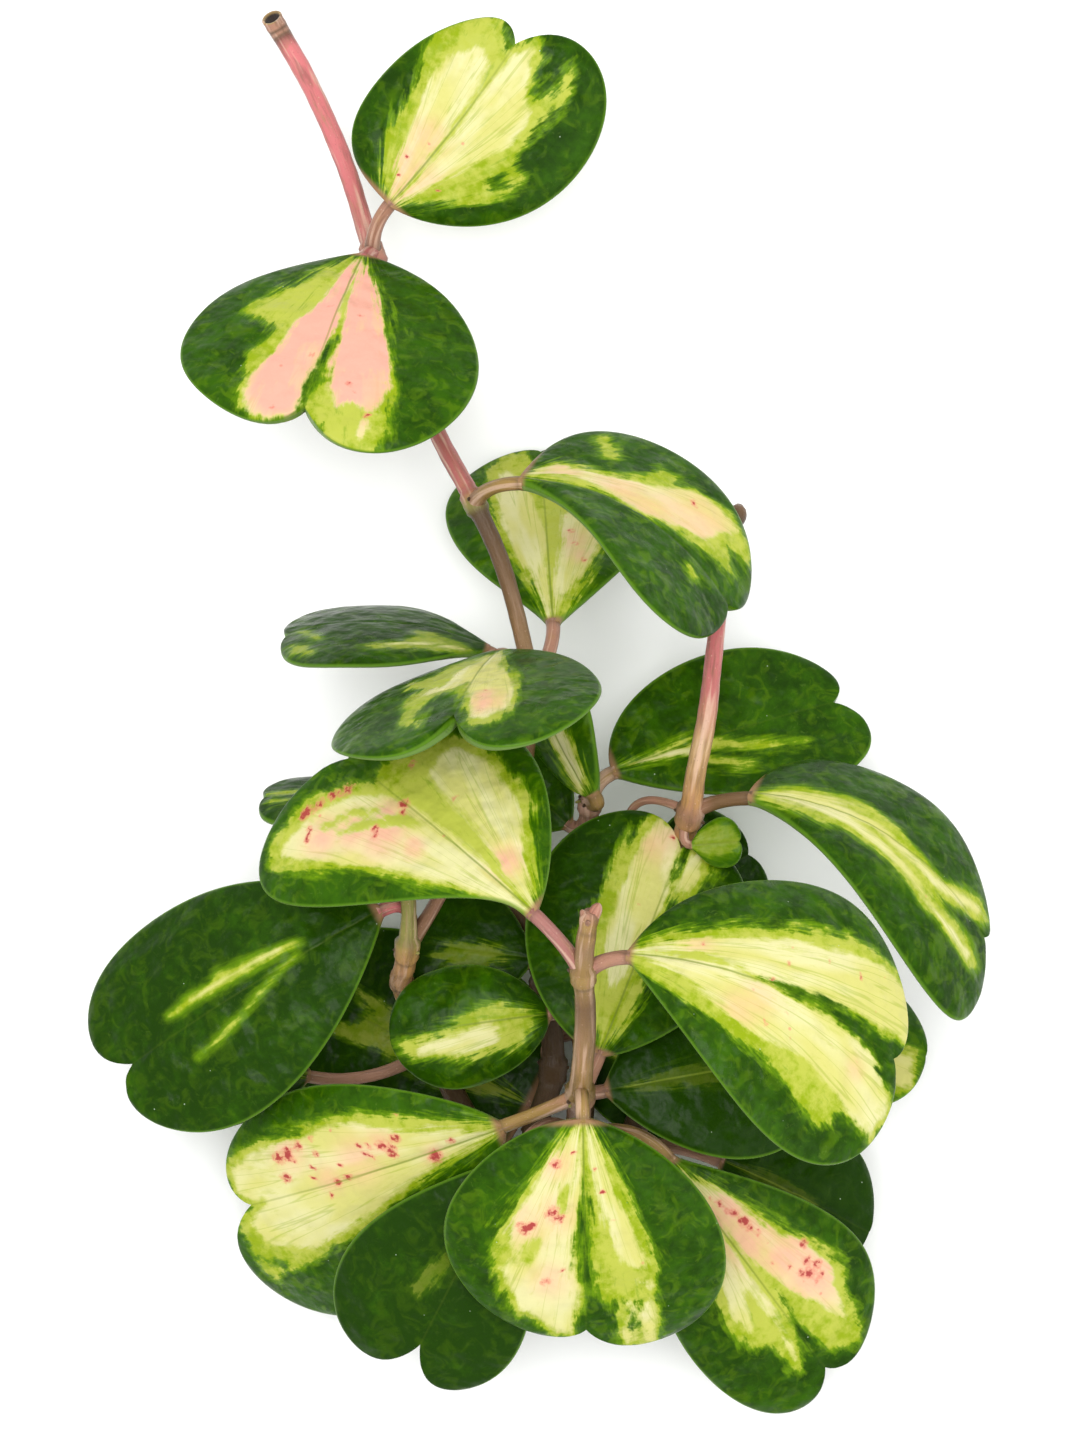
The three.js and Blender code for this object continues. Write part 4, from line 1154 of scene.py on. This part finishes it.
def add_petiole(shape, leaf_name, start, offset):
    """The petiole runs from its joint and meets the blade along the midrib."""
    leaf = leaf_of(leaf_name)
    base_point = blade_point(leaf, np.array(BASE_ANGLE), np.array(0.0), 0).reshape(3)
    forward = leaf_turn(leaf) @ (base_point / np.linalg.norm(base_point))
    end = np.array(leaf["base"], float) - MIDDLE + forward * PETIOLE_SINK
    seat = end - forward * PETIOLE_SEAT
    elbow = seat - forward * np.linalg.norm(seat - start) / 2
    t = np.linspace(0, 1, PETIOLE_SAMPLES)[:, None]
    curve = (1 - t) ** 2 * start + 2 * t * (1 - t) * elbow + t**2 * end
    travel = travel_along(curve)
    reach = travel[-1]
    wanted = np.linspace(0, reach, max(3, int(reach / PETIOLE_STEP)) + 1)
    path = np.stack([np.interp(wanted, travel, part) for part in curve.T], -1)
    left = reach - wanted
    foot = PETIOLE_FOOT * np.exp(-wanted / FOOT_REACH)
    head = PETIOLE_HEAD * np.exp(-left / HEAD_REACH)
    neck = bump_at(left - PETIOLE_SEAT, *PETIOLE_NECK)
    radii = leaf["petiole"] * (PETIOLE_WAIST + foot + head) - neck
    first, last = PETIOLE_COLOURS.get(leaf_name, PLAIN_PETIOLE)
    colours = blended([(0, first), (PETIOLE_BLEND, last), (1, last)], wanted / reach)
    rings = bump_at(left - PETIOLE_SEAT, *PETIOLE_RING)
    shape.add(path, radii, colours, PETIOLE_SIDES, rings, 0.0, offset)


# Materials
class Wire:
    """A node's output. Adding to it, taking from it or multiplying it makes a Math node."""

    def __init__(self, look, socket):
        self.look = look
        self.socket = socket

    def __add__(self, other):
        return self.look.math("ADD", self, other)

    def __sub__(self, other):
        return self.look.math("SUBTRACT", self, other)

    def __rsub__(self, other):
        return self.look.math("SUBTRACT", other, self)

    def __mul__(self, other):
        return self.look.math("MULTIPLY", self, other)

    def __abs__(self):
        return self.look.math("ABSOLUTE", self, 0.0)


class Look:
    """A node material, with a short call for each kind of node."""

    def __init__(self, name):
        self.material = bpy.data.materials.new(name)
        self.material.use_nodes = True
        self.tree = self.material.node_tree
        self.tree.nodes.clear()
        self.shader = self.tree.nodes.new("ShaderNodeBsdfPrincipled")
        output = self.tree.nodes.new("ShaderNodeOutputMaterial")
        self.tree.links.new(self.shader.outputs[0], output.inputs["Surface"])

    def put(self, socket, value):
        if isinstance(value, Wire):
            self.tree.links.new(value.socket, socket)
        else:
            socket.default_value = (*value, 1.0) if socket.type == "RGBA" else value

    def node(self, kind, output, inputs, **settings):
        """Adds a node with its settings and its inputs, and gives one of its outputs."""
        node = self.tree.nodes.new("ShaderNode" + kind)
        for name, value in settings.items():
            setattr(node, name, value)
        for key, value in inputs.items():
            self.put(node.inputs[key], value)
        return Wire(self, node.outputs[output])

    def attribute(self, name, output="Fac"):
        return self.node("Attribute", output, {}, attribute_name=name)

    def math(self, operation, a, b):
        return self.node("Math", 0, {0: a, 1: b}, operation=operation)

    def ease(self, value, low, high, to_low=0.0, to_high=1.0):
        inputs = dict(enumerate((value, low, high, to_low, to_high)))
        return self.node("MapRange", 0, inputs, interpolation_type="SMOOTHSTEP")

    def noise(self, vector, scale, detail=2.0, roughness=0.5, distortion=0.0, stretch=None):
        if stretch:
            vector = self.node("Mapping", 0, {"Vector": vector, "Scale": stretch}, vector_type="POINT")
        numbers = {"Scale": scale, "Detail": detail, "Roughness": roughness, "Distortion": distortion}
        return self.node("TexNoise", "Fac", {"Vector": vector, **numbers})

    def cells(self, vector, scale, output="Distance"):
        return self.node("TexVoronoi", output, {"Vector": vector, "Scale": scale})

    def red_of(self, colour):
        return self.node("SeparateColor", 0, {0: colour})

    def few_spots(self, vector, scale, edge, share):
        """Round spots in the middle of cells, in the few cells with a random number above share."""
        spot = self.ease(self.cells(vector, scale), *edge)
        return spot * self.ease(self.red_of(self.cells(vector, scale, "Color")), *share)

    def mix(self, factor, a, b):
        return self.node("Mix", 2, {0: factor, 6: a, 7: b}, data_type="RGBA")

    def bump(self, height, strength, distance):
        return self.node("Bump", 0, {"Strength": strength, "Distance": distance, "Height": height})

    def finish(self, **sockets):
        for name, value in sockets.items():
            self.put(self.shader.inputs[name.replace("_", " ")], value)
        return self.material


class LeafLook(Look):
    """The leaves' material, laid on in layers: greens, lime and cream, reds, ribs and rim, then specks,
    painted sheen and the underside.
    """

    def __init__(self):
        super().__init__("hoya_leaf")
        self.flow = self.attribute("flow", "Vector")
        self.place = self.attribute("place", "Vector")
        self.feather = self.noise(self.flow, 1.0, 4.0, 0.62, stretch=(0.62, 0.5, 1.0))
        self.fine_feather = self.noise(self.flow, 1.0, 4.0, 0.68, 0.3, stretch=(1.5, 0.8, 1.0))
        self.broad = self.noise(self.flow, 1.0, stretch=(0.3, 0.3, 1.0))
        self.mottle = self.noise(self.place, 0.35, 4.0, 0.65)
        self.grain = self.noise(self.place, 1.1, 3.0, 0.6)
        self.sheen_haze = self.noise(self.place, 0.16, 4.0, 0.7, 1.0)
        self.streak = self.broad * 0.5 + self.mottle * 0.5
        self.depth = self.attribute("depth")
        self.strength = self.attribute("lime_strength")
        swing = (self.feather - 0.5) * 8.0 + (self.fine_feather - 0.5) * 4.5 + (self.mottle - 0.5) * 2.8
        self.swing = swing * self.attribute("swing")
        self.lime_field = self.attribute("lime") + self.swing
        self.cream_field = self.attribute("cream") + self.swing * 0.7
        self.in_pale = self.ease(self.lime_field, -0.5, 0.5)
        self.in_cream = self.ease(self.cream_field, -0.5, 1.0)
        self.plain = 1.0 - self.depth * 0.85

    def green(self):
        """Full and deep green, with brighter patches and a bright band beside the lime."""
        blotch = self.noise(self.place, 0.09, 3.0, 0.6)
        deep = self.depth + (blotch - 0.5) * 1.8 + (self.mottle - 0.5) * 1.2
        colour = self.mix(self.ease(deep, 0.0, 1.0), FULL_GREEN, DEEP_GREEN)
        facet = self.noise(self.place, 0.2, 3.0, 0.55, 1.2) * 0.7 + self.streak * 0.3
        colour = self.mix(self.ease(facet, 0.48, 0.64, 0.0, 0.5) * self.plain, colour, BRIGHT_GREEN)
        near = self.attribute("lime") + self.swing * 1.3
        return self.mix(self.ease(near, -2.4, 0.2, 0.0, 0.8) * self.strength, colour, BRIGHT_GREEN)

    def variegated(self, colour):
        """Lime and cream, which fray into the green along the veins, and green threads in the cream."""
        lime = self.mix(self.ease(self.streak + self.lime_field * 0.02, 0.42, 0.62), LIME, PALE_LIME)
        lime = self.mix(self.ease(self.fine_feather, 0.56, 0.7, 0.0, 0.5), lime, BRIGHT_GREEN)
        colour = self.mix(self.in_pale * self.strength, colour, lime)
        cream = self.mix(self.ease(self.broad, 0.4, 0.62), CREAM, PALE_CREAM)
        cream = self.mix(self.ease(self.fine_feather, 0.54, 0.7, 0.0, 0.4), cream, PALE_LIME)
        colour = self.mix(self.ease(self.cream_field, -0.8, 1.0), colour, cream)
        thread = abs(self.noise(self.flow, 1.0, stretch=(0.8, 0.1, 1.0)) - 0.5)
        return self.mix(self.ease(thread, 0.02, 0.002, 0.0, 0.4) * self.in_cream, colour, LIME)

    def blushed(self, colour):
        """Pink blushes, red spots with a ragged edge, and a few pink freckles."""
        blush = self.attribute("blush") * self.ease(self.feather, 0.35, 0.6, 0.65, 1.0)
        colour = self.mix(blush * self.in_cream, colour, BLUSH)
        spots = self.attribute("red")
        ragged = (self.grain - 0.5) * 0.9 + (self.mottle - 0.5)
        red = spots + ragged * self.ease(spots, 0.02, 0.3)
        colour = self.mix(self.ease(red, 0.25, 0.65, 0.0, 0.6) * self.in_pale, colour, SPOT_PINK)
        colour = self.mix(self.ease(red, 0.58, 0.82, 0.0, 0.9) * self.in_pale, colour, SPOT_RED)
        freckle = self.few_spots(self.place, 0.2, (0.12, 0.04), (0.74, 0.78))
        return self.mix(freckle * (self.in_cream * 0.6), colour, SPOT_PINK)

    def edged(self, colour):
        """The midrib, the rim and the scar where the petiole meets the blade."""
        along = self.attribute("along")
        rib = self.ease(abs(self.attribute("midrib")), 0.4, 0.08) * self.ease(along, 1.0, 0.1, 0.3, 0.75)
        colour = self.mix(rib * self.ease(self.lime_field, -1.0, 1.0, 0.14, 1.0), colour, RIB)
        colour = self.mix(self.ease(self.attribute("rim"), 1.0, 0.1, 0.0, 0.75), colour, RIM)
        return self.mix(self.ease(along, 0.035, 0.008, 0.0, 0.9), colour, SCAR)

    def specked_and_sheened(self, colour):
        """Chalky specks, then painted sheen in fine scratch-like lines and a faint haze, and the paler
        underside.
        """
        speck = self.few_spots(self.place, 0.32, (0.07, 0.03), (0.88, 0.9))
        colour = self.mix(speck * (0.65 - self.in_cream * 0.6), colour, CHALK)
        # painted sheen: fine scratch-like lines and a faint haze laid on in sheen green
        sheen_scratch = self.ease(abs(self.noise(self.place, 0.28, 3.0, 0.55, 0.8) - 0.5), 0.014, 0.003)
        patch = self.ease(self.noise(self.place, 0.25, 2.0, 0.6, 2.0), 0.56, 0.66, 0.0, 0.4) * self.plain
        sheen_scratch = sheen_scratch * patch * self.ease(self.in_pale, 1.0, 0.0, 0.1, 1.0)
        colour = self.mix(sheen_scratch, colour, SHEEN_GREEN)
        colour = self.mix(self.ease(self.sheen_haze, 0.58, 0.78, 0.0, 0.1), colour, SHEEN_GREEN)
        return self.mix(self.attribute("under") * 0.75, colour, UNDERSIDE)


def leaf_look():
    look = LeafLook()
    colour = look.specked_and_sheened(look.edged(look.blushed(look.variegated(look.green()))))
    skin = look.noise(look.place, 0.17, 2.0, 0.4) * 3.0 + look.grain * 0.06 + look.mottle * 0.25
    return look.finish(
        Base_Color=colour,
        Roughness=look.ease(look.sheen_haze, 0.35, 0.7, 0.27, 0.4),
        Normal=look.bump(skin, 0.4, 0.0012),
        Specular_IOR_Level=0.07,
    )


def bark_look():
    look = Look("hoya_bark")
    tint = look.attribute("tint", "Color")
    bark = look.attribute("bark", "Vector")
    streaks = look.noise(bark, 1.0, 4.0, 0.65, stretch=(0.7, 0.7, 0.1))
    blotch = look.noise(bark, 0.25, 3.0, 0.6)
    grain = look.noise(bark, 1.6, 3.0, 0.7)
    sheen = look.noise(bark, 1.0, stretch=(0.45, 0.45, 0.05))
    shade = look.noise(bark, 1.0, 3.0, 0.6, stretch=(0.35, 0.35, 0.07))
    touches = (
        (look.ease(streaks, 0.48, 0.7, 0.0, 0.55), MAUVE),
        (look.ease(blotch, 0.54, 0.75, 0.0, 0.3), TAN),
        (look.ease(shade, 0.5, 0.34, 0.0, 0.45), DARK_BARK),
        # painted sheen: pale streaks along the stem; the pale flecks below are the bark's own
        (look.ease(sheen, 0.52, 0.66, 0.0, 0.6), PALE_BARK),
        (look.ease(look.cells(bark, 0.8), 0.2, 0.1) * look.ease(grain, 0.45, 0.6, 0.0, 0.7), PALE_BARK),
    )
    lit = look.ease(look.red_of(tint), 0.08, 0.3)
    colour = tint
    for share, touch in touches:
        colour = look.mix(share * lit, colour, touch)
    colour = look.mix(look.ease(look.cells(bark, 1.1), 0.14, 0.06) * 0.6, colour, DARK_BARK)
    colour = look.mix(look.attribute("mark") * 0.85, colour, DARK_BARK)
    return look.finish(
        Base_Color=colour,
        Roughness=look.ease(blotch, 0.3, 0.7, 0.28, 0.45),
        Normal=look.bump(streaks * 0.8 + grain * 0.35, 0.6, 0.0009),
        Specular_IOR_Level=0.28,
    )


def floor_look():
    look = Look("floor_white")
    cloud = look.noise(look.node("TexCoord", "Object", {}), 3.0)
    colour = look.mix(cloud, (0.95, 0.95, 0.95), (0.97, 0.97, 0.97))
    return look.finish(Base_Color=colour, Roughness=0.9, Specular_IOR_Level=0.1)


# The scene round the plant
def add_camera():
    data = bpy.data.cameras.new("camera")
    data.sensor_width = SENSOR
    data.lens = SENSOR * EYE[2] / PICTURE_HEIGHT
    data.clip_end = 50
    camera = bpy.data.objects.new("camera", data)
    camera.location = EYE * MM
    bpy.context.scene.collection.objects.link(camera)
    bpy.context.scene.camera = camera


def add_floor():
    h = FLOOR_HALF
    mesh = bpy.data.meshes.new("floor")
    mesh.from_pydata([(-h, -h, 0), (h, -h, 0), (h, h, 0), (-h, h, 0)], [], [(0, 1, 2, 3)])
    floor = bpy.data.objects.new("floor", mesh)
    floor.data.materials.append(floor_look())
    bpy.context.scene.collection.objects.link(floor)


def add_light(name, place, size, power):
    data = bpy.data.lights.new(name, "AREA")
    data.shape = "DISK"
    data.size = size
    data.energy = power
    light = bpy.data.objects.new(name, data)
    light.location = place
    x, y, z = place
    light.rotation_euler = (math.atan2(math.hypot(x, y), z), 0, math.atan2(-y, -x) - math.pi / 2)
    bpy.context.scene.collection.objects.link(light)


def add_world():
    world = bpy.data.worlds.new("studio")
    world.use_nodes = True
    inputs = world.node_tree.nodes["Background"].inputs
    inputs["Color"].default_value = (1, 1, 1, 1)
    inputs["Strength"].default_value = WORLD_STRENGTH
    bpy.context.scene.world = world


add_camera()
add_floor()
for light_name, (light_place, light_size, light_power) in LIGHTS.items():
    add_light(light_name, light_place, light_size, light_power)
add_world()
leaf_material = leaf_look()
bark_material = bark_look()
for number, leaf_name in enumerate(LEAVES):
    blade = make_leaf(leaf_name, number + 1)
    blade.data.materials.append(leaf_material)
for number, stem_name in enumerate(SHOOTS):
    stem = make_stem(stem_name, number + 1)
    stem.data.materials.append(bark_material)
bpy.context.scene.view_settings.view_transform = "Standard"
